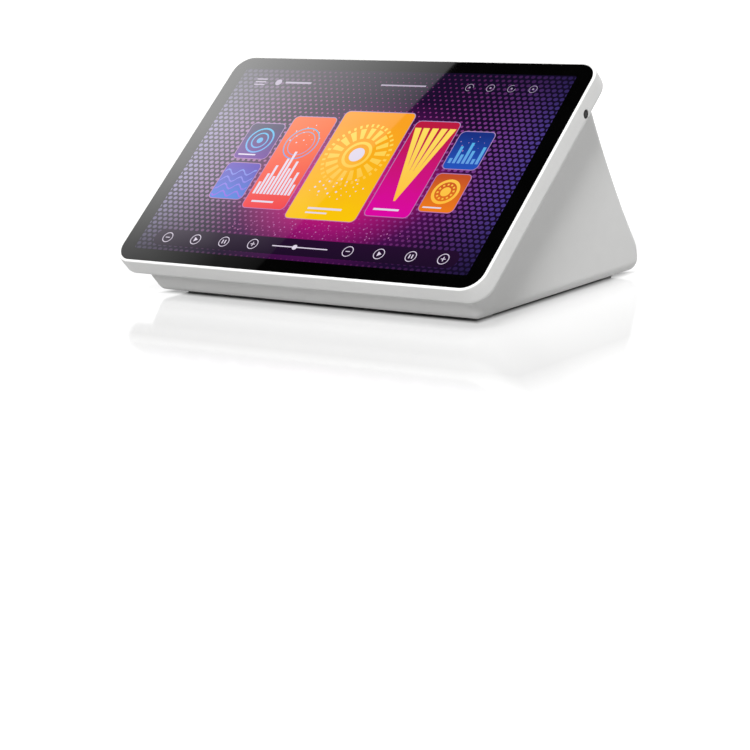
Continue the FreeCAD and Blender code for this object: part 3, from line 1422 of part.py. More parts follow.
# Bottom plate with a row of vent slots, its screws, and four tapered feet
plate = new_body("plate_body")
plate_mid = (s.plate_front + plate_rear) / 2
raise_up(plate, rectangle(-plate_half, s.plate_front, plate_half, plate_rear), s.foot_height,
         s.plate_thickness)
cut_down(plate, [ring(plate_hole, x, y) for x, y in plate_spots], plate_top, s.plate_thickness + s.overrun)
first_slot = plate_mid - s.plate_slot_pitch * (s.plate_slots - 1) / 2
plate_slot = cut_down(plate, [middle_rectangle(s.plate_slot_length, s.plate_slot_width, s.plate_slot_place,
                                               first_slot)], plate_top, s.plate_thickness + s.overrun)
slots = plate.newObject("PartDesign::LinearPattern", "slots")
slots.Originals = [plate_slot]
slots.Direction = (plate_slot.Profile[0], ["V_Axis"])
slots.setExpression("Length", (s.plate_slot_pitch * (s.plate_slots - 1)).text)
slots.setExpression("Occurrences", s.plate_slots.text)
plate.Tip = slots
document.recompute()
plate.Placement = upright(0, as_size(0), 0)
keep(plate, "bottom_plate")
downward = turned((1, 0, 0), 180)
keep(screws([upright(x, y, s.foot_height).multiply(downward) for x, y in plate_spots], s.plate_screw_radius,
            s.plate_screw_length, s.plate_screw_head_radius, s.plate_screw_head), "bottom_screws")


def foot(x, y):
    cone = document.addObject("Part::Cone", "cone")
    cone.setExpression("Radius1", s.foot_radius.text)
    cone.setExpression("Radius2", s.foot_top_radius.text)
    cone.setExpression("Height", s.foot_height.text)
    cone.Placement = upright(x, y, 0)
    stem = cylinder(s.foot_stem_radius, s.foot_stem_length + s.foot_height / 2,
                    upright(x, y, s.foot_height / 2))
    return fused([cone, stem])


keep(group([foot(x, y) for x, y in foot_spots]), "rubber_feet")

# Every sub-part is checked, then written to its own file
document.recompute()
for item in document.Objects:
    if "Invalid" in item.State or "Error" in item.State:
        raise RuntimeError(f"{item.Label} did not build")
for label, item in NODES.items():
    if item.Shape.isNull() or not item.Shape.isValid():
        raise RuntimeError(f"{label} has no valid shape")
os.makedirs("parts", exist_ok=True)
for label, item in NODES.items():
    item.Shape.exportStep(f"parts/{label}.step")
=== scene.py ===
import math

import bmesh
import bpy
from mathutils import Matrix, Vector


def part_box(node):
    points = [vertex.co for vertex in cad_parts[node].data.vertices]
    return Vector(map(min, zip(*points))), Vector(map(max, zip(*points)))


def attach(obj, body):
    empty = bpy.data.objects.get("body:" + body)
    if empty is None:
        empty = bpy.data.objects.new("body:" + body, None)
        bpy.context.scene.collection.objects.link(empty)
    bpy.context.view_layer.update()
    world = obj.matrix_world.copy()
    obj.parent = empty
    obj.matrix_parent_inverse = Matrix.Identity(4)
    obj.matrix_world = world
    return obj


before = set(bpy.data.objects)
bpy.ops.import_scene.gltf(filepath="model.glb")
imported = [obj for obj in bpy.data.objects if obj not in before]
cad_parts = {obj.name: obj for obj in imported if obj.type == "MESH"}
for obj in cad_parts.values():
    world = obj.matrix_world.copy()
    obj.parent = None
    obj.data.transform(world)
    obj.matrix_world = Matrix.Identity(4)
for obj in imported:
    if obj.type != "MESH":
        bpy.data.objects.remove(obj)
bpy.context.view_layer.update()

# Camera: a long lens off the console's front right corner and a little above it, about 1.6 m away. It leans
# by three and a half degrees, as the front view does.
scene = bpy.context.scene
camera_data = bpy.data.cameras.new("studio_camera")
camera_data.sensor_width = 36.0
camera_data.sensor_fit = "HORIZONTAL"
camera_data.lens = 123.06
camera_data.clip_end = 30.0
camera = bpy.data.objects.new("studio_camera", camera_data)
camera.location = (1.01077, -1.24434, 0.30499)
camera.rotation_euler = (1.34840, 0.06101, 0.67474)
scene.collection.objects.link(camera)
scene.camera = camera

# Studio: a pale glossy floor that takes a soft shadow and a faint reflection, a white surround, and five soft
# square lamps. The floor glows where the camera or a reflection sees it, so that it runs out to white. Its
# glow is left out under the console, a painted contact shadow, and is painted brighter close round the
# console and behind it, painted light that lifts the shadow there.
scene.view_settings.view_transform = "Standard"
WHITE = (1.0, 1.0, 1.0, 1.0)
AMBIENT_LIGHT = 0.33
BACKDROP_LIGHT = 1.0
FLOOR_HALF = 6.0
# The box of the floor's painted contact shadow, round the console's footprint.
PAINTED_SHADOW_BOX = (("X", -0.004, 0.129), ("Y", 0.0155, 0.086))  # axis, middle and half length, in metres
LAMPS = (
    ("front_lamp", (0.55, -0.95, 1.70), (0.0, 0.0, 0.05), 0.8, 27.0),
    ("rear_lamp", (-0.1, 1.7, 0.45), (0.0, 0.05, 0.05), 0.7, 7.0),
    ("top_lamp", (0.0, 0.75, 1.9), (0.0, 0.05, 0.05), 0.8, 11.0),
    ("right_lamp", (1.6, 0.95, 0.4), (0.1, 0.05, 0.05), 1.0, 0.5),
    ("corner_lamp", (0.70, -1.7, 0.95), (0.0, -0.08, 0.05), 0.4, 20.0),
)


def arithmetic(tree, operation, first, second=None):
    """The result of one arithmetic step; the second value is a number or a socket."""
    step = tree.nodes.new("ShaderNodeMath")
    step.operation = operation
    tree.links.new(first, step.inputs[0])
    if isinstance(second, (int, float)):
        step.inputs[1].default_value = second
    elif second is not None:
        tree.links.new(second, step.inputs[1])
    return step.outputs[0]


def spread(tree, value, near, far, low=0.0, high=1.0):
    """A value carried from one range to another and held at its ends."""
    ramp = tree.nodes.new("ShaderNodeMapRange")
    for name, number in (("From Min", near), ("From Max", far), ("To Min", low), ("To Max", high)):
        ramp.inputs[name].default_value = number
    tree.links.new(value, ramp.inputs["Value"])
    return ramp.outputs["Result"]


def seen_or_lit(tree, lit, seen, output):
    """Lights the console with one shader, and shows another to the camera, reflections and clear pieces."""
    path = tree.nodes.new("ShaderNodeLightPath")
    factor = arithmetic(tree, "MAXIMUM", path.outputs["Is Camera Ray"], path.outputs["Is Glossy Ray"])
    factor = arithmetic(tree, "MAXIMUM", factor, path.outputs["Is Transmission Ray"])
    choice = tree.nodes.new("ShaderNodeMixShader")
    tree.links.new(factor, choice.inputs[0])
    tree.links.new(lit.outputs[0], choice.inputs[1])
    tree.links.new(seen.outputs[0], choice.inputs[2])
    tree.links.new(choice.outputs[0], tree.nodes.new(output).inputs["Surface"])


def surround_light(tree, strength):
    """An even white light from all round."""
    light = tree.nodes.new("ShaderNodeBackground")
    light.inputs["Color"].default_value = WHITE
    light.inputs["Strength"].default_value = strength
    return light


world = bpy.data.worlds.new("white_surround")
world.use_nodes = True
scene.world = world
tree = world.node_tree
tree.nodes.clear()
seen_or_lit(tree, surround_light(tree, AMBIENT_LIGHT), surround_light(tree, BACKDROP_LIGHT),
            "ShaderNodeOutputWorld")

floor_mesh = bpy.data.meshes.new("studio_floor")
floor_mesh.from_pydata([(-FLOOR_HALF, -FLOOR_HALF, 0), (FLOOR_HALF, -FLOOR_HALF, 0),
                        (FLOOR_HALF, FLOOR_HALF, 0), (-FLOOR_HALF, FLOOR_HALF, 0)], [], [(0, 1, 2, 3)])
floor = bpy.data.objects.new("studio_floor", floor_mesh)
scene.collection.objects.link(floor)
floor_finish = bpy.data.materials.new("pale_floor")
floor_finish.use_nodes = True
tree = floor_finish.node_tree
tree.nodes.clear()
paint = tree.nodes.new("ShaderNodeBsdfPrincipled")
paint.inputs["Base Color"].default_value = (0.38, 0.38, 0.38, 1.0)
paint.inputs["Roughness"].default_value = 0.09
paint.inputs["Specular IOR Level"].default_value = 0.5
floor_place = tree.nodes.new("ShaderNodeTexCoord")
floor_parts = tree.nodes.new("ShaderNodeSeparateXYZ")
tree.links.new(floor_place.outputs["Object"], floor_parts.inputs[0])
past = []
for axis, middle, half in PAINTED_SHADOW_BOX:
    aside = arithmetic(tree, "ABSOLUTE", arithmetic(tree, "SUBTRACT", floor_parts.outputs[axis], middle))
    past.append(arithmetic(tree, "SUBTRACT", aside, half))
edge_gap = arithmetic(tree, "MAXIMUM", *past)
# Painted shadow and painted light on the floor: no glow under the console, a painted contact shadow; more
# glow close round it and behind it, painted light that lifts the shadow there; and it runs out to white
# further off.
outside_painted_shadow = spread(tree, edge_gap, -0.007, 0.0005)
painted_lift_near = spread(tree, edge_gap, 0.0, 0.10, 0.52, 0.34)
further_off = spread(tree, edge_gap, 0.05, 0.22, 0.1, 0.9)
behind = spread(tree, floor_parts.outputs["Y"], 0.085, 0.20, 0.0, 0.4)
brightest = arithmetic(tree, "MAXIMUM", arithmetic(tree, "MAXIMUM", painted_lift_near, further_off), behind)
glow = tree.nodes.new("ShaderNodeEmission")
glow.inputs["Color"].default_value = WHITE
tree.links.new(arithmetic(tree, "MULTIPLY", outside_painted_shadow, brightest), glow.inputs["Strength"])
lifted = tree.nodes.new("ShaderNodeAddShader")
tree.links.new(paint.outputs[0], lifted.inputs[0])
tree.links.new(glow.outputs[0], lifted.inputs[1])
seen_or_lit(tree, paint, lifted, "ShaderNodeOutputMaterial")
floor_mesh.materials.append(floor_finish)

for name, place, target, size, power in LAMPS:
    lamp_data = bpy.data.lights.new(name, "AREA")
    lamp_data.shape = "SQUARE"
    lamp_data.size = size
    lamp_data.energy = power
    lamp = bpy.data.objects.new(name, lamp_data)
    lamp.location = place
    lamp.rotation_euler = (Vector(target) - Vector(place)).to_track_quat("-Z", "Y").to_euler()
    scene.collection.objects.link(lamp)
    lamp.visible_glossy = False

# Base housing: the wedge that the console stands on, one hollow moulding of satin white plastic with a fine
# spark texture. The recess for the sockets has a rolled rim, and a rolled bead rings each of the three screws
# in the recess's sloping ledge.
MM = 0.001
GRAIN_DEPTH = 0.0002
PANEL_DEPTH = 72.378  # the connector panel's face, behind the middle of the console
LEDGE_SCREWS = (("right", -70.4), ("middle", 0.0), ("left", 70.4))
LEDGE_SCREW_OUT, LEDGE_SCREW_HEIGHT = 5.515, 42.515
LEDGE_BEAD_RADIUS, LEDGE_BEAD_THICK, LEDGE_BEAD_STEPS = 3.25, 0.38, 32
BEAD_SIDES = 10
BAY_HALF = 76.5
RIM_SINK, RIM_THICK = 0.5, 0.9
RIM_OUT = 8.0  # the rim lies further out than this from the panel


def noise(tree, place, scale, detail):
    """A soft random pattern over a surface, from 0 to 1."""
    pattern = tree.nodes.new("ShaderNodeTexNoise")
    pattern.inputs["Scale"].default_value = scale
    pattern.inputs["Detail"].default_value = detail
    tree.links.new(place, pattern.inputs["Vector"])
    return pattern.outputs["Fac"]


def tinted(tree, value, *stops):
    """A colour that follows a value through stops, each a position and a colour."""
    ramp = tree.nodes.new("ShaderNodeValToRGB")
    marks = ramp.color_ramp.elements
    for mark, (position, colour) in ((marks[0], stops[0]), (marks[1], stops[-1])):
        mark.position = position
        mark.color = (*colour, 1.0)
    for position, colour in stops[1:-1]:
        marks.new(position).color = (*colour, 1.0)
    tree.links.new(value, ramp.inputs["Fac"])
    return ramp.outputs["Color"]


def finish(name, colour, rough=0.45, metal=0.0, vary=0.05, blotch=70.0, grain=0.0, grain_scale=2600.0,
           stretch=(1.0, 1.0, 1.0), rough_vary=0.06, shine=0.5):
    """A surface whose colour and gloss drift a little, with a fine grain in its relief."""
    material = bpy.data.materials.new(name)
    material.use_nodes = True
    tree = material.node_tree
    shader = tree.nodes["Principled BSDF"]
    shader.inputs["Metallic"].default_value = metal
    shader.inputs["Specular IOR Level"].default_value = shine
    place = tree.nodes.new("ShaderNodeTexCoord")
    mapping = tree.nodes.new("ShaderNodeMapping")
    mapping.inputs["Scale"].default_value = stretch
    tree.links.new(place.outputs["Object"], mapping.inputs["Vector"])
    drift = noise(tree, mapping.outputs[0], blotch, 4.0)
    darker = [part * (1 - vary) for part in colour]
    lighter = [min(1.0, part * (1 + vary)) for part in colour]
    tree.links.new(tinted(tree, drift, (0.3, darker), (0.7, lighter)), shader.inputs["Base Color"])
    gloss = spread(tree, drift, 0.0, 1.0, max(0.02, rough - rough_vary), rough + rough_vary)
    tree.links.new(gloss, shader.inputs["Roughness"])
    if grain:
        relief = tree.nodes.new("ShaderNodeBump")
        relief.inputs["Strength"].default_value = grain
        relief.inputs["Distance"].default_value = GRAIN_DEPTH
        tree.links.new(noise(tree, mapping.outputs[0], grain_scale, 2.0), relief.inputs["Height"])
        tree.links.new(relief.outputs["Normal"], shader.inputs["Normal"])
    return material


def dress(material, *names):
    """Puts a finish on CAD nodes."""
    for name in names:
        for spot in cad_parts[name].material_slots:
            spot.material = material


def fit(name, mesh, material, body="case"):
    """Puts a finished mesh on the console, as a piece that rides on one of its bodies."""
    mesh.materials.append(material)
    piece = bpy.data.objects.new(name, mesh)
    scene.collection.objects.link(piece)
    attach(piece, body)


def moulded(name, rows, material, looped=False, front=False, back=False, inside_out=False,
            smooth=False):
    """A piece skinned over rows of points, each a closed outline; looped joins the last row to the first."""
    form = bmesh.new()
    outlines = [[form.verts.new(point) for point in row] for row in rows]
    for near, far in zip(outlines, outlines[1:] + outlines[:1] if looped else outlines[1:]):
        for k in range(len(near)):
            after = (k + 1) % len(near)
            form.faces.new((near[k], near[after], far[after], far[k]))
    if front:
        form.faces.new(outlines[0])
    if back:
        form.faces.new(outlines[-1])
    bmesh.ops.recalc_face_normals(form, faces=form.faces)
    if inside_out:
        bmesh.ops.reverse_faces(form, faces=form.faces)
    for face in form.faces:
        face.smooth = smooth
    mesh = bpy.data.meshes.new(name)
    form.to_mesh(mesh)
    form.free()
    fit(name, mesh, material)


def full_turn(steps):
    """Equal angles once round, in radians."""
    return [2 * math.pi * k / steps for k in range(steps)]


def rolled_bead(name, path, outward, thick):
    """A rounded bead moulded along a closed path of points, in millimetres."""
    rings = []
    for k, point in enumerate(path):
        along = (path[(k + 1) % len(path)] - path[k - 1]).normalized()
        rise = (outward - along * outward.dot(along)).normalized()
        aside = along.cross(rise)
        rings.append([(point + thick * (rise * math.sin(turn) + aside * math.cos(turn))) * MM
                      for turn in full_turn(BEAD_SIDES)])
    moulded(name, rings, white_plastic, looped=True, smooth=True)


white_plastic = finish("satin_white_plastic", (0.80, 0.80, 0.79), rough=0.36, vary=0.012, grain=0.12)
dress(white_plastic, "base_housing")

across = Vector((1.0, 0.0, 0.0))
ledge_out = Vector((0.0, math.sqrt(0.5), -math.sqrt(0.5)))
ledge_up = Vector((0.0, math.sqrt(0.5), math.sqrt(0.5)))
for label, x in LEDGE_SCREWS:
    centre = Vector((x, PANEL_DEPTH + LEDGE_SCREW_OUT, LEDGE_SCREW_HEIGHT))
    ring = [centre + LEDGE_BEAD_RADIUS * (across * math.cos(turn) + ledge_up * math.sin(turn))
            for turn in full_turn(LEDGE_BEAD_STEPS)]
    rolled_bead("ledge_bead_" + label, ring, ledge_out, LEDGE_BEAD_THICK)

rim = {}
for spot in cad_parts["base_housing"].data.vertices:
    x, y, z = spot.co / MM
    if abs(x - BAY_HALF) < 0.02 and y > PANEL_DEPTH + RIM_OUT:
        rim[round(z, 2)] = max(y, rim.get(round(z, 2), y))
heights = sorted(rim)
side_path = []
for k, z in enumerate(heights):
    below, above = heights[max(k - 1, 0)], heights[min(k + 1, len(heights) - 1)]
    along = Vector((0.0, rim[above] - rim[below], above - below)).normalized()
    beyond = (k == len(heights) - 1) - (k == 0)
    inward = Vector((0.0, along.z, -along.y))
    side_path.append(Vector((0.0, rim[z], z)) + RIM_SINK * (along * beyond - inward))
aside = across * (BAY_HALF + RIM_SINK)
rim_path = [point + aside for point in side_path] + [point - aside for point in reversed(side_path)]
rolled_bead("bay_rim", rim_path, Vector((0.0, 1.0, 0.0)), RIM_THICK)

# Vent grille: a flat slotted insert of white plastic, pressed into the rear wall from within, with painted
# shade that colours every face inside its slots near black. A thin filled seam closes the gap between its
# straight edges and the curved wall.
WALL_CURVE, WALL_SINK = 660.0, 0.1
SLOT_PAINTED_SHADE = (0.004, 0.004, 0.004, 1.0)
FACING_OUT = 0.6
SEAM_ROWS = ((48.7, 18.35, 0.02, False), (49.15, 18.8, 0.10, True), (49.8, 19.45, 0.0, True))
SEAM_STEPS = 8


def either_colour(tree, factor, first, second):
    """The first colour where the factor is 0 and the second where it is 1."""
    mix = tree.nodes.new("ShaderNodeMix")
    mix.data_type = "RGBA"
    tree.links.new(factor, mix.inputs["Factor"])
    for spot, colour in ((6, first), (7, second)):
        if isinstance(colour, tuple):
            mix.inputs[spot].default_value = colour
        else:
            tree.links.new(colour, mix.inputs[spot])
    return mix.outputs[2]


def quads(rows, wide, closed=True):
    """The faces between rows of points, each so many points wide; a closed row joins its two ends."""
    faces = []
    for row in range(rows - 1):
        for k in range(wide if closed else wide - 1):
            near, far = row * wide + k, row * wide + (k + 1) % wide
            faces.append((near, far, far + wide, near + wide))
    return faces


grille_plastic = finish("grille_white_plastic", (0.84, 0.84, 0.83), rough=0.40, vary=0.012, grain=0.12)
grille_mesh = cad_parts["vent_grille"].data
wall_out = max(grille_mesh.polygons, key=lambda face: face.area).normal.copy()
if wall_out.y < 0:
    wall_out.negate()
wall_up = Vector((0.0, -wall_out.z, wall_out.y))
tree = grille_plastic.node_tree
grille_shader = tree.nodes["Principled BSDF"]
facing = tree.nodes.new("ShaderNodeNewGeometry")
outward_part = tree.nodes.new("ShaderNodeVectorMath")
outward_part.operation = "DOT_PRODUCT"
outward_part.inputs[1].default_value = wall_out
tree.links.new(facing.outputs["True Normal"], outward_part.inputs[0])
# Painted shade: every face that doesn't face out of the wall, inside the slots, is coloured near black.
on_face = arithmetic(tree, "GREATER_THAN", outward_part.outputs["Value"], FACING_OUT)
face_white = grille_shader.inputs["Base Color"].links[0].from_socket
tree.links.new(either_colour(tree, on_face, SLOT_PAINTED_SHADE, face_white), grille_shader.inputs["Base Color"])
dress(grille_plastic, "vent_grille")

face_level = max(spot.co.dot(wall_out) for spot in grille_mesh.vertices)
face_rises = [spot.co.dot(wall_up) for spot in grille_mesh.vertices
              if face_level - spot.co.dot(wall_out) < 0.01 * MM]
grille_middle = wall_out * face_level + wall_up * ((min(face_rises) + max(face_rises)) / 2)
seam_points = []
for wide, tall, lift, on_wall in SEAM_ROWS:
    climb = [tall * (2 * k / SEAM_STEPS - 1) for k in range(SEAM_STEPS + 1)]
    for x, rise in [(-wide, rise) for rise in climb] + [(wide, -rise) for rise in climb]:
        bow = max(0.0, rise * rise / (2 * WALL_CURVE) - WALL_SINK) if on_wall else 0.0
        seam_points.append(grille_middle + (across * x + wall_up * rise + wall_out * (bow + lift)) * MM)
seam_mesh = bpy.data.meshes.new("grille_seam")
seam_faces = [face[::-1] for face in quads(len(SEAM_ROWS), 2 * (SEAM_STEPS + 1))]
seam_mesh.from_pydata(seam_points, [], seam_faces)
fit("grille_seam", seam_mesh, white_plastic)

# Fan: an amber moulded rotor in a black moulded frame, with a copper coil in its hub, screwed to the grille
# from within. A round foil sticker covers the bearing plate behind the middle slots.
FAN_DROP, PLATE_DEPTH = 1.5, 4.27
LABEL_ROWS = ((1.3, 0.0), (9.6, 0.0), (10.3, -0.02))
LABEL_STEPS = 40
black_moulding = finish("black_moulding", (0.005, 0.005, 0.006), rough=0.46, vary=0.15, grain=0.3, shine=0.1)
zinc = finish("zinc_screw", (0.60, 0.60, 0.59), rough=0.3, metal=1.0, vary=0.08)
dress(black_moulding, "fan_frame")
dress(finish("amber_fan_moulding", (0.62, 0.47, 0.25), rough=0.4, vary=0.1, blotch=180.0), "fan_rotor")
copper = finish("enamelled_copper", (0.50, 0.20, 0.07), rough=0.3, metal=0.9, vary=0.15, blotch=900.0)
dress(copper, "fan_coil")
dress(zinc, "fan_screws")

plate_middle = grille_middle - (wall_up * FAN_DROP + wall_out * PLATE_DEPTH) * MM
label_points = []
for radius, lift in LABEL_ROWS:
    for turn in full_turn(LABEL_STEPS):
        arm = radius * (across * math.cos(turn) + wall_up * math.sin(turn)) + wall_out * lift
        label_points.append(plate_middle + arm * MM)
label_mesh = bpy.data.meshes.new("fan_label")
label_mesh.from_pydata(label_points, [], quads(len(LABEL_ROWS), LABEL_STEPS))
foil = finish("foil_label", (0.80, 0.74, 0.66), rough=0.45, vary=0.15, blotch=320.0)
fit("fan_label", label_mesh, foil)

# Connector panel: a sheet of steel folded once, with a black powder coat. Blackened cross-head screws hold it
# to the ledge and to the sockets, their cross recesses drawn as painted shade, and thin white rules and marks
# are printed between the groups of sockets.
PRINT_LIFT, SCREW_FACE = 0.03, 1.02
RULE_LOW, RULE_SHELF, RULE_HIGH = 7.6, 16.0, 36.4
LEVEL_MARKS, ARROW_HEIGHT = 17.2, 9.6
SCREW_HEADS = ((40.3, 22.8), (26.3, 22.8), (-0.65, 34.0), (-21.35, 34.0))
CROSS_LONG, CROSS_THIN = 1.25, 0.24


def bar(left, low, right, high):
    """A rectangle, as an outline."""
    return [(left, low), (right, low), (right, high), (left, high)]


def disc(x, rise, radius, sides=28):
    """A filled circle, as an outline."""
    return [(x + radius * math.cos(turn), rise + radius * math.sin(turn)) for turn in full_turn(sides)]


def band_ring(x, rise, radius, width, start=0.0, end=360.0, sides=28):
    """The quads of a ring, or of a part of one, in degrees."""
    pieces = []
    for k in range(sides):
        a, b = [math.radians(start + (end - start) * (k + j) / sides) for j in (0, 1)]
        pieces.append([(x + r * math.cos(t), rise + r * math.sin(t))
                       for r, t in ((radius, a), (radius + width, a), (radius + width, b), (radius, b))])
    return pieces


def printed(name, outlines, place, material, body="case", from_behind=True):
    """A thin layer of flat shapes, each point of an outline put in its place on the console."""
    points, loops = [], []
    for outline in outlines:
        loop = range(len(points), len(points) + len(outline))
        loops.append(tuple(reversed(loop)) if from_behind else tuple(loop))
        points += [place(*spot) for spot in outline]
    mesh = bpy.data.meshes.new(name)
    mesh.from_pydata(points, [], loops)
    fit(name, mesh, material, body)


def on_panel(x, z, lift=PRINT_LIFT):
    """A point of the panel's face, in metres, from millimetres across and up."""
    return x * MM, (PANEL_DEPTH + lift) * MM, z * MM


panel_coat = finish("black_powder_coat", (0.004, 0.0045, 0.005), rough=0.5, vary=0.15, grain=0.5,
                    grain_scale=1500.0, shine=0.09)
black_screw = finish("blackened_screw", (0.012, 0.012, 0.013), rough=0.36, metal=0.9, vary=0.2)
printed_white = finish("printed_white_rule", (0.72, 0.72, 0.72), rough=0.6, vary=0.03)
dress(panel_coat, "connector_panel")
dress(black_screw, "ledge_screws", "panel_screws")

rules = [bar(57.05, RULE_LOW, 57.4, RULE_HIGH), bar(26.2, 28.6, 26.5, RULE_HIGH),
         bar(26.2, RULE_LOW, 26.5, 18.4), bar(12.0, RULE_LOW, 12.35, RULE_HIGH),
         bar(8.4, RULE_SHELF, 8.75, RULE_HIGH), bar(-30.7, RULE_SHELF, -30.35, RULE_HIGH),
         bar(-30.7, RULE_SHELF, 8.75, RULE_SHELF + 0.35)]
for z in (16.0, 29.7):
    rules += band_ring(54.6, z, 1.0, 0.28, sides=20) + [disc(54.6, z, 0.36, 10)]
for x in (-0.65, -21.35):
    rules += [bar(x + 2.2, LEVEL_MARKS, x + 3.8, LEVEL_MARKS + 0.3),
              bar(x - 3.8, LEVEL_MARKS, x - 2.2, LEVEL_MARKS + 0.3),
              bar(x - 3.15, LEVEL_MARKS - 0.6, x - 2.85, LEVEL_MARKS + 0.9)]
for x, way in ((47.3, 1), (33.3, -1)):
    tip, shoulder = x - way * 1.9, x + way * 0.1
    head = [(tip, ARROW_HEIGHT), (shoulder, ARROW_HEIGHT - way * 0.8), (shoulder, ARROW_HEIGHT + way * 0.8)]
    rules += [head, bar(x - 1.9, ARROW_HEIGHT - 0.15, x + 1.9, ARROW_HEIGHT + 0.15)]
rules += band_ring(19.0, ARROW_HEIGHT, 0.75, 0.22, sides=16) + [disc(19.0, ARROW_HEIGHT, 0.3, 10)]
rules += [bar(-50.6, 17.2, -50.2, 25.4), bar(-52.2, 17.2, -51.8, 25.4)]
printed("panel_rules", rules, on_panel, printed_white)

# Painted shade: the cross recess of each panel screw is drawn as dark bars laid just over its head.
cross_shade = []
for x, z in SCREW_HEADS:
    cross_shade += [bar(x - CROSS_LONG, z - CROSS_THIN, x + CROSS_LONG, z + CROSS_THIN),
                bar(x - CROSS_THIN, z + CROSS_THIN, x + CROSS_THIN, z + CROSS_LONG),
                bar(x - CROSS_THIN, z - CROSS_LONG, x + CROSS_THIN, z - CROSS_THIN)]
printed("panel_screw_slot_shade", cross_shade, lambda x, z: on_panel(x, z, SCREW_FACE), panel_coat)

# Mains inlet and rocker switch: two black moulded blocks pushed through the panel, the inlet with three pins
# darkened by painted shade. The rocker's dished face stands turned by ten degrees, with a white stroke and
# ring printed on it.
ROCKER_X, ROCKER_Z = -64.2, 30.9
ROCKER_TURN = math.radians(10.0)
ROCKER_HALF, ROCKER_OUT, ROCKER_PRINT = 5.1, 2.2, 0.04
black_cap = finish("satin_black_cap", (0.006, 0.006, 0.007), rough=0.42, vary=0.15, grain=0.2, shine=0.22)
# Painted shade: the pins are coloured dark metal, as they sit deep in their shaded holes.
pin_painted_shade = finish("pin_painted_shade", (0.085, 0.082, 0.08), rough=0.3, metal=1.0, vary=0.1)
dress(black_moulding, "power_inlet", "switch_body")
dress(pin_painted_shade, "inlet_pins")
dress(black_cap, "power_rocker")


def on_rocker(along, z, half):
    """A point of one half of the rocker's face, in metres: out from its middle and up, in millimetres."""
    valley = ROCKER_OUT - ROCKER_HALF * math.tan(ROCKER_TURN) + ROCKER_PRINT
    x, out = half * along * math.cos(ROCKER_TURN), valley + along * math.sin(ROCKER_TURN)
    return ((ROCKER_X + x * math.cos(ROCKER_TURN) - out * math.sin(ROCKER_TURN)) * MM,
            (PANEL_DEPTH + x * math.sin(ROCKER_TURN) + out * math.cos(ROCKER_TURN)) * MM, (ROCKER_Z + z) * MM)


printed("rocker_stroke", [bar(1.9, -0.22, 3.7, 0.22)], lambda along, z: on_rocker(along, z, 1),
        printed_white, body="rocker")
printed("rocker_ring", band_ring(2.8, 0.0, 0.75, 0.32, sides=20), lambda along, z: on_rocker(along, z, -1),
        printed_white, body="rocker", from_behind=False)  # this half mirrors its outline

# Phono, optical and speaker sockets: nickel-plated barrels with coloured moulded rings on one black block, a
# square black socket with a hinged dark flap, and two black sockets with two plated pins each.
nickel = finish("nickel_plate", (0.50, 0.485, 0.455), rough=0.24, metal=1.0, vary=0.06)
dress(black_moulding, "phono_block", "optical_socket", "speaker_sockets")
dress(nickel, "phono_shells")
# The phono contact tubes take the same painted shade, so their holes read dark.
dress(pin_painted_shade, "phono_contacts")
dress(finish("white_ring", (0.86, 0.84, 0.80), rough=0.3, vary=0.03), "phono_rings_white")
dress(finish("red_ring", (0.72, 0.03, 0.05), rough=0.3, vary=0.06), "phono_rings_red")
dress(finish("yellow_ring", (0.86, 0.68, 0.03), rough=0.3, vary=0.06), "phono_ring_yellow")
dress(finish("dark_flap", (0.010, 0.010, 0.011), rough=0.45, vary=0.15, shine=0.15), "optical_shutter")
dress(finish("plated_pin", (0.60, 0.59, 0.57), rough=0.2, metal=1.0, vary=0.05), "speaker_pins")

# Video, card, data and network sockets: folded nickel-plated shells on the main board, each with a black
# moulding inside, open at its mouth. The data ports hold white tongues and bent springs that grip a plug, and
# the network socket gold contacts and two tinted lamps.
LINER_LIP, LINER_BEND = 0.25, 0.6
SHELL_OUT, JACK_OUT = 0.8, 0.5
PORTS = (("low", -3.9), ("high", 3.9))
PORT_HALF_WIDE, PORT_HALF_TALL = 6.24, 2.64
SPRING_SIDE, SPRING_DROP = 3.0, 2.6
SPRING_HALF, SPRING_THICK = 1.1, 0.22
SPRING_BEND = ((9.0, 0.05), (6.0, 0.45), (4.0, 0.9), (2.6, 1.0), (1.6, 0.7), (1.1, 0.45))


def middle_of(node):
    """The middle of a socket, across and up, in millimetres."""
    low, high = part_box(node)
    return (low[0] + high[0]) / 2 / MM, (low[2] + high[2]) / 2 / MM


def socket_liner(name, outline, mouth, depth, node):
    """An open black cup behind a socket's mouth, from its outline across and up, in millimetres."""
    x, z = middle_of(node)
    rims = [[on_panel(x + a, z + b, mouth - back) for a, b in outline]
            for back in (LINER_LIP, LINER_BEND, depth)]
    moulded(name, rims, black_moulding, back=True, inside_out=True)


def grip_spring(name, x, z):
    """A bent strip that rises from the port's lower wall and dips again at its tip."""
    rows = [[on_panel(x + a, z + rise + b, SHELL_OUT - back)
             for a, b in ((-SPRING_HALF, 0.0), (SPRING_HALF, 0.0), (SPRING_HALF, SPRING_THICK),
                          (-SPRING_HALF, SPRING_THICK))] for back, rise in SPRING_BEND]
    moulded(name, rows, gold, front=True, back=True)


gold = finish("gold_contact", (0.80, 0.55, 0.18), rough=0.22, metal=1.0, vary=0.06)
dress(nickel, "video_shell", "data_port_shell", "network_jack")
dress(black_moulding, "video_tongue")
dress(gold, "network_contacts")
dress(finish("dark_slot_steel", (0.16, 0.155, 0.15), rough=0.34, metal=1.0, vary=0.08), "card_slot")
dress(finish("white_tongue", (0.95, 0.95, 0.93), rough=0.35, vary=0.03), "data_port_tongues")
dress(finish("amber_lamp", (0.66, 0.44, 0.10), rough=0.2, vary=0.08), "network_lamp_amber")
dress(finish("green_lamp", (0.44, 0.52, 0.16), rough=0.2, vary=0.08), "network_lamp_green")

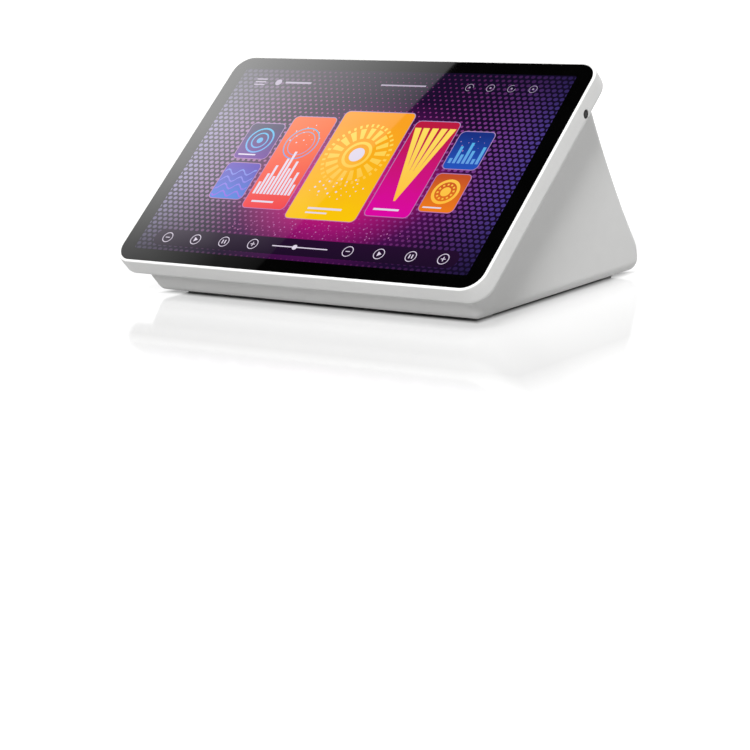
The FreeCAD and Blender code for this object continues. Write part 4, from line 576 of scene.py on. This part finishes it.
jack_outline = [(-5.84, -5.04), (5.84, -5.04), (5.84, 2.44), (3.04, 2.44),
                (3.04, 4.84), (-3.04, 4.84), (-3.04, 2.44), (-5.84, 2.44)]
video_outline = [(-5.08, -2.19), (5.08, -2.19), (6.94, -0.03), (6.94, 2.19), (-6.94, 2.19), (-6.94, -0.03)]
socket_liner("network_liner", jack_outline, JACK_OUT, 12.9, "network_jack")
socket_liner("video_liner", video_outline, SHELL_OUT, 8.9, "video_shell")
port_x, port_z = middle_of("data_port_shell")
for label, z in PORTS:
    port_outline = bar(-PORT_HALF_WIDE, z - PORT_HALF_TALL, PORT_HALF_WIDE, z + PORT_HALF_TALL)
    socket_liner("data_port_liner_" + label, port_outline, SHELL_OUT, 11.9, "data_port_shell")
    for side, hand in ((-1, "right"), (1, "left")):
        name = "grip_spring_" + label + "_" + hand
        grip_spring(name, port_x + SPRING_SIDE * side, port_z + z - SPRING_DROP)

# Inside: a green main board on brass standoffs with a finned dark heat sink, a brown supply board with its
# transformer and capacitors, and a song store in a bracket of plated sheet. Zinc screws hold the boards.
board_green = finish("green_solder_mask", (0.02, 0.13, 0.05), rough=0.35, vary=0.25, blotch=260.0)
board_brown = finish("brown_laminate", (0.28, 0.18, 0.08), rough=0.6, vary=0.15, blotch=220.0)
plated_sheet = finish("plated_sheet", (0.55, 0.56, 0.57), rough=0.36, metal=1.0, vary=0.08, blotch=30.0,
                      stretch=(1.0, 14.0, 14.0))
dress(board_green, "main_board")
dress(board_brown, "power_board")
dress(plated_sheet, "disk_bracket")
dress(zinc, "board_screws")
dress(finish("turned_brass", (0.62, 0.46, 0.16), rough=0.28, metal=1.0, vary=0.06), "standoffs")
dress(finish("dark_anodised", (0.10, 0.105, 0.11), rough=0.4, metal=0.9, vary=0.1), "heat_sink")
dress(finish("taped_core", (0.42, 0.34, 0.08), rough=0.5, vary=0.12), "power_transformer")
dress(finish("can_sleeve", (0.03, 0.04, 0.12), rough=0.3, vary=0.1), "power_capacitors")
dress(finish("drive_case", (0.48, 0.49, 0.50), rough=0.38, metal=1.0, vary=0.06), "disk_drive")

# Slab: the tilted frame of the screen, a second moulding of the same white plastic, screwed to the wedge from
# inside. It carries the display in its steel case on two rails of plated sheet, with a green driver board.
TILT = math.radians(39.76)
LIP_HEIGHT = 25.66
MIDDLE_DEPTH = 97.62
dress(white_plastic, "screen_frame")
dress(zinc, "frame_screws")
dress(plated_sheet, "display_rails")
dress(board_green, "driver_board")
dress(finish("display_case", (0.22, 0.22, 0.23), rough=0.4, metal=0.6, vary=0.08), "display_panel")


def on_slab(x, rise, out=0.0):
    """A point of the tilted slab, in metres: across, up the slope and out of its face, in millimetres."""
    depth = rise * math.cos(TILT) - out * math.sin(TILT) - MIDDLE_DEPTH
    height = LIP_HEIGHT + rise * math.sin(TILT) + out * math.cos(TILT)
    return Vector((x * MM, depth * MM, height * MM))


# Cover glass: one polished sheet, printed black behind, bonded into the frame by a ring of black foam tape.
# Only reflections see the two cards over it, a dark flag and a soft box whose edge is the slanting glare.
GLASS_LEVEL = -0.3
GLASS_BLACK, GLASS_ROUGH = 0.0008, 0.018
GLARE_OUTSIDE, GLARE_LEFT, GLARE_INSIDE = -175, -138, -60
GLARE_EDGE, GLARE_EDGE_RISE, GLARE_SLANT = 35.4, 175.6, 0.341
GLARE_LEVELS = ((200, 4.5, 2.9, 0.95), (176, 4.5, 2.9, 0.95), (150, 4.5, 2.6, 0.80),
                (120, 4.4, 2.1, 0.62), (85, 3.7, 1.45, 0.42), (50, 2.55, 0.80, 0.25),
                (15, 1.35, 0.25, 0.09), (-12, 0.75, 0.10, 0.04))  # rise, and its glow at three places
FLAG_HALF, FLAG_LOW, FLAG_HIGH = 190, -14, 205
SOFT_BOX_REACH, FLAG_REACH = 1.72, 1.8
dress(finish("printed_black_glass", (GLASS_BLACK, GLASS_BLACK, GLASS_BLACK), rough=GLASS_ROUGH, vary=0.2,
             rough_vary=0.006), "touch_glass")
dress(finish("black_foam_tape", (0.02, 0.02, 0.02), rough=0.9, grain=0.6, grain_scale=1800.0), "glass_tape")

slab_normal = Vector((0.0, -math.sin(TILT), math.cos(TILT)))
eye_to_glass = camera.location - on_slab(0, 0, GLASS_LEVEL)
mirror_eye = camera.location - 2 * eye_to_glass.dot(slab_normal) * slab_normal
card_finish = bpy.data.materials.new("studio_card")
card_finish.use_nodes = True
tree = card_finish.node_tree
tree.nodes.clear()
card_level = tree.nodes.new("ShaderNodeAttribute")
card_level.attribute_name = "glow"
card_light = tree.nodes.new("ShaderNodeEmission")
card_out = tree.nodes.new("ShaderNodeOutputMaterial")
tree.links.new(card_level.outputs["Fac"], card_light.inputs["Strength"])
tree.links.new(card_light.outputs[0], card_out.inputs["Surface"])


def reflected_card(name, rows, reach):
    """A card that shows in the glass where the rows of points lie, each point with its glow."""
    points = [mirror_eye + reach * (on_slab(x, rise, GLASS_LEVEL) - mirror_eye)
              for row in rows for x, rise, _ in row]
    mesh = bpy.data.meshes.new(name)
    mesh.from_pydata(points, [], quads(len(rows), len(rows[0]), closed=False))
    glows = mesh.attributes.new("glow", "FLOAT", "POINT")
    glows.data.foreach_set("value", [level for row in rows for _, _, level in row])
    mesh.materials.append(card_finish)
    card = bpy.data.objects.new(name, mesh)
    scene.collection.objects.link(card)
    card.visible_camera = False
    card.visible_diffuse = False
    card.visible_transmission = False
    card.visible_shadow = False


glare_rows = []
for rise, outside, inside, last in GLARE_LEVELS:
    edge = GLARE_EDGE + GLARE_SLANT * (rise - GLARE_EDGE_RISE)
    glare_rows.append([(GLARE_OUTSIDE, rise, outside * 1.05), (GLARE_LEFT, rise, outside),
                       (GLARE_INSIDE, rise, inside), (edge, rise, last)])
reflected_card("soft_box", glare_rows, SOFT_BOX_REACH)
flag_rows = [[(-FLAG_HALF, rise, 0.0), (FLAG_HALF, rise, 0.0)] for rise in (FLAG_HIGH, FLAG_LOW)]
reflected_card("dark_flag", flag_rows, FLAG_REACH)

# Lit picture: a plain menu of rounded cards and simple marks over a violet ground with a dot screen. The
# display shows it through the glass, and here it lies on the glass in thin layers.
FIRST_LAYER, LAYER_STEP = 0.02, 0.015
DOT_PITCH, DOT_ROW = 4.6, 3.5
CARD_ROUND, ROUND_STEPS = 4.0, 6
CARDS = (
    ("amber", (-27.0, 44.0, 30.0, 134.0), (0.95, 0.60, 0.0), (0.95, 0.36, 0.015), 0.25),
    ("coral", (-66.0, 50.0, -30.0, 128.0), (0.85, 0.03, 0.06), (0.92, 0.16, 0.03), 0.2),
    ("rose", (33.0, 50.0, 68.0, 128.0), (0.75, 0.0, 0.42), (0.50, 0.01, 0.05), 0.25),
    ("sky", (-98.0, 56.0, -69.0, 87.0), (0.05, 0.22, 0.72), (0.10, 0.05, 0.45), 0.2),
    ("plum", (-98.0, 90.0, -69.0, 121.0), (0.16, 0.03, 0.36), (0.03, 0.02, 0.09), 0.2),
    ("orange", (71.0, 56.0, 98.0, 87.0), (0.90, 0.22, 0.01), (0.55, 0.08, 0.02), 0.2),
    ("blue", (71.0, 90.0, 98.0, 121.0), (0.02, 0.10, 0.55), (0.01, 0.03, 0.22), 0.2),
)
SUN, WHEEL, TARGET, HOOPS = (1.5, 98), (84.5, 72.5), (-83.5, 106), (-48, 105)
BEAM_X, BEAM_LOW, BEAM_HIGH, BEAM_LEANS = 50.5, 63, 122, (-13.5, -7, 0, 7, 13.5)
BAR_HEIGHTS = (10, 17, 24, 15, 30, 36, 22, 28, 14, 19, 9)
BUTTON_RISE, BUTTON_PLACES = 22, (-110, -86, -62, -38, 38, 62, 86, 110)
TOP_RISE, TOP_PLACES = 156.5, (58, 74, 90, 106)


def lit_glass(name):
    """A glossy black finish that can glow, and places on the screen in millimetres: all, across, and up."""
    material = bpy.data.materials.new(name)
    material.use_nodes = True
    tree = material.node_tree
    shader = tree.nodes["Principled BSDF"]
    shader.inputs["Base Color"].default_value = (GLASS_BLACK, GLASS_BLACK, GLASS_BLACK, 1.0)
    shader.inputs["Roughness"].default_value = GLASS_ROUGH
    shader.inputs["Emission Strength"].default_value = 1.0
    place = tree.nodes.new("ShaderNodeTexCoord")
    screen = tree.nodes.new("ShaderNodeMapping")
    screen.vector_type = "TEXTURE"
    screen.inputs["Location"].default_value = on_slab(0, 0, GLASS_LEVEL)
    screen.inputs["Rotation"].default_value = (TILT, 0.0, 0.0)
    screen.inputs["Scale"].default_value = (MM, MM, MM)
    tree.links.new(place.outputs["Object"], screen.inputs["Vector"])
    split = tree.nodes.new("ShaderNodeSeparateXYZ")
    tree.links.new(screen.outputs[0], split.inputs[0])
    return material, screen.outputs[0], split.outputs["X"], split.outputs["Y"]


def glow_with(material, colour):
    """Lights a finish with the colour that its nodes give."""
    tree = material.node_tree
    tree.links.new(colour, tree.nodes["Principled BSDF"].inputs["Emission Color"])
    return material


def picture_ink(name, low, high, rise_low, rise_high, cloud=0.0):
    """A lit finish that runs from one colour to another up the screen, cloudy if asked."""
    material, place, _, rise = lit_glass(name)
    tree = material.node_tree
    climb = spread(tree, rise, rise_low, rise_high)
    if cloud:
        puffs = arithmetic(tree, "MULTIPLY", noise(tree, place, 0.09, 2.0), cloud)
        climb = arithmetic(tree, "ADD", puffs, climb)
    return glow_with(material, tinted(tree, climb, (0.0, low), (1.0, high)))


def from_middle(tree, aside, above):
    """How far a place is from a middle, from its two offsets."""
    squares = [arithmetic(tree, "MULTIPLY", part, part) for part in (aside, above)]
    return arithmetic(tree, "SQRT", arithmetic(tree, "ADD", *squares))


def ground_ink(name):
    """Pink in the lower middle, violet around it and near black at the rim, under rows of staggered dots that
    grow towards the two sides and turn blue at the right."""
    material, _, x, rise = lit_glass(name)
    tree = material.node_tree
    aside = arithmetic(tree, "DIVIDE", arithmetic(tree, "SUBTRACT", x, 4.0), 150.0)
    above = arithmetic(tree, "DIVIDE", arithmetic(tree, "SUBTRACT", rise, 72.0), 105.0)
    haze = tinted(tree, from_middle(tree, aside, above),
                  (0.12, (0.66, 0.008, 0.22)), (0.36, (0.30, 0.006, 0.15)), (0.54, (0.060, 0.004, 0.070)),
                  (0.70, (0.012, 0.003, 0.026)), (1.0, (0.006, 0.003, 0.018)))
    row = arithmetic(tree, "DIVIDE", rise, DOT_ROW)
    odd = arithmetic(tree, "MODULO", arithmetic(tree, "FLOOR", row), 2.0)
    stagger = arithmetic(tree, "MULTIPLY", odd, 0.5)
    column = arithmetic(tree, "ADD", arithmetic(tree, "DIVIDE", x, DOT_PITCH), stagger)
    cell = [arithmetic(tree, "SUBTRACT", arithmetic(tree, "FRACT", part), 0.5) for part in (column, row)]
    size = spread(tree, arithmetic(tree, "ABSOLUTE", x), 20.0, 110.0, 0.12, 0.37)
    inside = arithmetic(tree, "LESS_THAN", from_middle(tree, *cell), size)
    from_level = arithmetic(tree, "ABSOLUTE", arithmetic(tree, "SUBTRACT", rise, 92.0))
    strength = arithmetic(tree, "MULTIPLY", inside, spread(tree, from_level, 78.0, 25.0, 0.15))
    dots = tinted(tree, spread(tree, x, -130.0, 130.0), (0.0, (0.26, 0.22, 0.40)), (0.45, (0.52, 0.05, 0.30)),
                  (1.0, (0.070, 0.042, 0.25)))
    return glow_with(material, either_colour(tree, strength, haze, dots))


def picture_layer(name, outlines, ink, layer):
    """A layer of the picture, from outlines in millimetres across and up the slope."""
    level = GLASS_LEVEL + FIRST_LAYER + LAYER_STEP * layer
    printed(name, outlines, lambda x, rise: on_slab(x, rise, level), ink, from_behind=False)


def round_card(left, low, right, high, radius=CARD_ROUND):
    """A rectangle with rounded corners, as an outline."""
    outline = []
    for x, rise, start in ((right - radius, low + radius, -90), (right - radius, high - radius, 0),
                           (left + radius, high - radius, 90), (left + radius, low + radius, 180)):
        for k in range(ROUND_STEPS + 1):
            turn = math.radians(start + 90 * k / ROUND_STEPS)
            outline.append((x + radius * math.cos(turn), rise + radius * math.sin(turn)))
    return outline


def card_line(left, low, right, high, width=0.55):
    """The thin light line just inside a card's edge."""
    outer = round_card(left, low, right, high)
    inner = round_card(left + width, low + width, right - width, high - width, CARD_ROUND - width)
    turns = [(k, (k + 1) % len(outer)) for k in range(len(outer))]
    return [[outer[k], outer[after], inner[after], inner[k]] for k, after in turns]


def rays(x, rise, near, far, count, sweep):
    """Short rays round a point, each a slice of the given sweep in degrees."""
    slices = []
    for k in range(count):
        a, b = math.radians(360 * k / count), math.radians(360 * k / count + sweep)
        slices.append([(x + r * math.cos(t), rise + r * math.sin(t))
                       for r, t in ((near, a), (far, a), (far, b), (near, b))])
    return slices


def sparks(x, rise, wide, tall, count, size):
    """Small discs strewn over an oval, thinner towards its rim."""
    dots = []
    for k in range(count):
        away, turn = math.sqrt((k + 0.5) / count), 2.4 * k
        dots.append(disc(x + wide * away * math.cos(turn), rise + tall * away * math.sin(turn),
                         size * (0.45 + 0.55 * ((k * 7) % 5) / 4), 10))
    return dots


def wave(row, steps=13, step=2.0, left=-96.5, low=60.0, gap=6, tall=2.2, ripple=0.55, thick=1.3):
    """One wavy stroke of the sky card."""
    crest = [(left + step * k, low + gap * row + tall * math.sin((left + step * k) * ripple + row))
             for k in range(steps + 1)]
    return [[(x0, y0), (x1, y1), (x1, y1 + thick), (x0, y0 + thick)]
            for (x0, y0), (x1, y1) in zip(crest, crest[1:])]


ground = ground_ink("lit_violet_ground")
picture_layer("picture_ground", [round_card(-132.6, 11.6, 132.6, 168.2, 1.5)], ground, 0)
for name, outline, below, above, cloud in CARDS:
    ink = picture_ink("lit_" + name + "_card", below, above, outline[1], outline[3], cloud)
    picture_layer("picture_card_" + name, [round_card(*outline)], ink, 1)

warm_ink = picture_ink("lit_warm_shapes", (0.98, 0.42, 0.02), (0.99, 0.80, 0.14), 40, 135)
sun = rays(*SUN, 13.5, 22, 18, 11) + rays(*SUN, 23, 25.5, 36, 4) + band_ring(*SUN, 8.6, 2.2)
beams = [[(BEAM_X - 0.7, BEAM_LOW), (BEAM_X + 0.7, BEAM_LOW), (BEAM_X + lean + 2.4, BEAM_HIGH),
          (BEAM_X + lean - 2.4, BEAM_HIGH)] for lean in BEAM_LEANS]
wheel = band_ring(*WHEEL, 7.6, 2.2) + [disc(*WHEEL, 3.6)] + rays(*WHEEL, 5.0, 6.4, 12, 14)
picture_layer("picture_warm_shapes", sun + beams + wheel, warm_ink, 2)

cool_ink = picture_ink("lit_cool_shapes", (0.30, 0.06, 0.72), (0.04, 0.55, 0.80), 50, 125)
waves = [part for row in range(4) for part in wave(row)]
target = band_ring(*TARGET, 9.4, 1.3) + band_ring(*TARGET, 5.6, 1.1) + [disc(*TARGET, 2.4)]
columns = [bar(73.6 + 3.4 * k, 95, 75.8 + 3.4 * k, 99 + 3.2 * ((k * 3) % 5)) for k in range(7)]
hoops = band_ring(*HOOPS, 12.5, 0.8) + band_ring(*HOOPS, 9.6, 0.5)
picture_layer("picture_cool_shapes", waves + target + columns + hoops, cool_ink, 2)

pale_ink = picture_ink("lit_pale_marks", (0.74, 0.66, 0.80), (0.80, 0.74, 0.86), 10, 170)
bars = [bar(-63.2 + 2.9 * k, 62, -61.2 + 2.9 * k, 62 + tall) for k, tall in enumerate(BAR_HEIGHTS)]
card_rules = [bar(-12, 52.5, 15, 54.1), bar(-12, 49.2, 5, 50.4), bar(-60, 55.2, -42, 56.7),
              bar(38.5, 55.2, 58, 56.7), bar(-94.5, 93.2, -80, 94.3), bar(74.0, 59.2, 88, 60.3)]
pale_sparks = sparks(2, 70, 22, 9, 26, 0.8) + sparks(-48, 112, 13, 10, 14, 0.6)
picture_layer("picture_pale_shapes", bars + card_rules + [disc(*SUN, 5.6)] + pale_sparks, pale_ink, 3)

soft_ink = picture_ink("lit_soft_lines", (0.50, 0.16, 0.42), (0.42, 0.30, 0.55), 40, 135)
soft_lines = [part for card in CARDS for part in card_line(*card[1])]
soft_lines += sparks(4, 36, 74, 6.5, 70, 0.55) + sparks(84, 110, 11, 7, 12, 0.5)
picture_layer("picture_card_lines", soft_lines, soft_ink, 2)

dark_ink = picture_ink("lit_dark_shapes", (0.010, 0.003, 0.018), (0.022, 0.004, 0.032), 10, 40)
picture_layer("picture_dock", [round_card(-121.0, 15.4, 121.0, 28.6, 6.4)], dark_ink, 1)
marks = []
for k, x in enumerate(BUTTON_PLACES):
    level_stroke = bar(x - 1.7, BUTTON_RISE - 0.3, x + 1.7, BUTTON_RISE + 0.3)
    upright_strokes = [bar(x - 0.3, BUTTON_RISE - 1.7, x + 0.3, BUTTON_RISE - 0.3),
                       bar(x - 0.3, BUTTON_RISE + 0.3, x + 0.3, BUTTON_RISE + 1.7)]
    pointer = [(x - 1.1, BUTTON_RISE - 1.8), (x + 1.9, BUTTON_RISE), (x - 1.1, BUTTON_RISE + 1.8)]
    pair = [bar(x - 1.5, BUTTON_RISE - 1.5, x - 0.6, BUTTON_RISE + 1.5),
            bar(x + 0.6, BUTTON_RISE - 1.5, x + 1.5, BUTTON_RISE + 1.5)]
    marks += band_ring(x, BUTTON_RISE, 3.5, 0.55)
    marks += ([level_stroke], [pointer], pair, [level_stroke] + upright_strokes)[k % 4]
marks += [bar(-22, BUTTON_RISE - 0.4, 22, BUTTON_RISE + 0.4), disc(-4, BUTTON_RISE, 1.9)]
picture_layer("picture_marks", marks, pale_ink, 2)

dim_ink = picture_ink("lit_dim_marks", (0.40, 0.34, 0.46), (0.46, 0.40, 0.52), 140, 170)
marks = []
for k, x in enumerate(TOP_PLACES):
    marks += band_ring(x, TOP_RISE, 2.6, 0.36, start=35 * k, end=35 * k + (360 if k % 2 else 290))
    marks += [disc(x, TOP_RISE, 0.7, 12)]
marks += [bar(-118, 153.7 + 2.4 * k, -109, 154.7 + 2.4 * k) for k in range(3)]
marks += [disc(-98, TOP_RISE, 2.6), bar(-92, TOP_RISE - 0.8, -70, TOP_RISE + 0.8),
          bar(-12, TOP_RISE - 0.6, 24, TOP_RISE + 0.6)]
picture_layer("picture_top_marks", marks, dim_ink, 2)

# Side button: a black moulded cap with a painted highlight in its middle, in a hole in the slab's right edge.
# Behind it a black plunger carries the push to a small switch on its own green board.
CAP_MIDDLE, CAP_RIM = 0.0010, 0.0019
CAP_PAINTED_HIGHLIGHT, CAP_BLACK = (0.035, 0.035, 0.036), (0.0025, 0.0025, 0.0025)
dress(black_moulding, "button_plunger", "button_switch")
dress(board_green, "button_board")
cap_highlight_finish = finish("button_painted_highlight", (0.004, 0.004, 0.004), rough=0.4, grain=0.2, shine=0.12)
tree = cap_highlight_finish.node_tree
cap_place = tree.nodes.new("ShaderNodeTexCoord")
cap_parts = tree.nodes.new("ShaderNodeSeparateXYZ")
tree.links.new(cap_place.outputs["Object"], cap_parts.inputs[0])
cap_low, cap_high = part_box("side_button")
arms = [arithmetic(tree, "SUBTRACT", cap_parts.outputs[axis], (cap_low[k] + cap_high[k]) / 2)
        for k, axis in ((1, "Y"), (2, "Z"))]
# Painted highlight: the cap's middle is coloured paler, fading to black towards its rim.
to_rim = spread(tree, from_middle(tree, *arms), CAP_MIDDLE, CAP_RIM)
cap_colour = tinted(tree, to_rim, (0.0, CAP_PAINTED_HIGHLIGHT), (1.0, CAP_BLACK))
tree.links.new(cap_colour, tree.nodes["Principled BSDF"].inputs["Base Color"])
dress(cap_highlight_finish, "side_button")

# Bottom: a flat slotted plate of plated sheet, let into the underside of the wedge and held by six blackened
# screws. Four tapered feet of grey rubber are pressed into the wedge beside it.
dress(plated_sheet, "bottom_plate")
dress(black_screw, "bottom_screws")
rubber = finish("grey_rubber", (0.50, 0.50, 0.49), rough=0.8, vary=0.12, grain=0.5, grain_scale=1200.0)
dress(rubber, "rubber_feet")
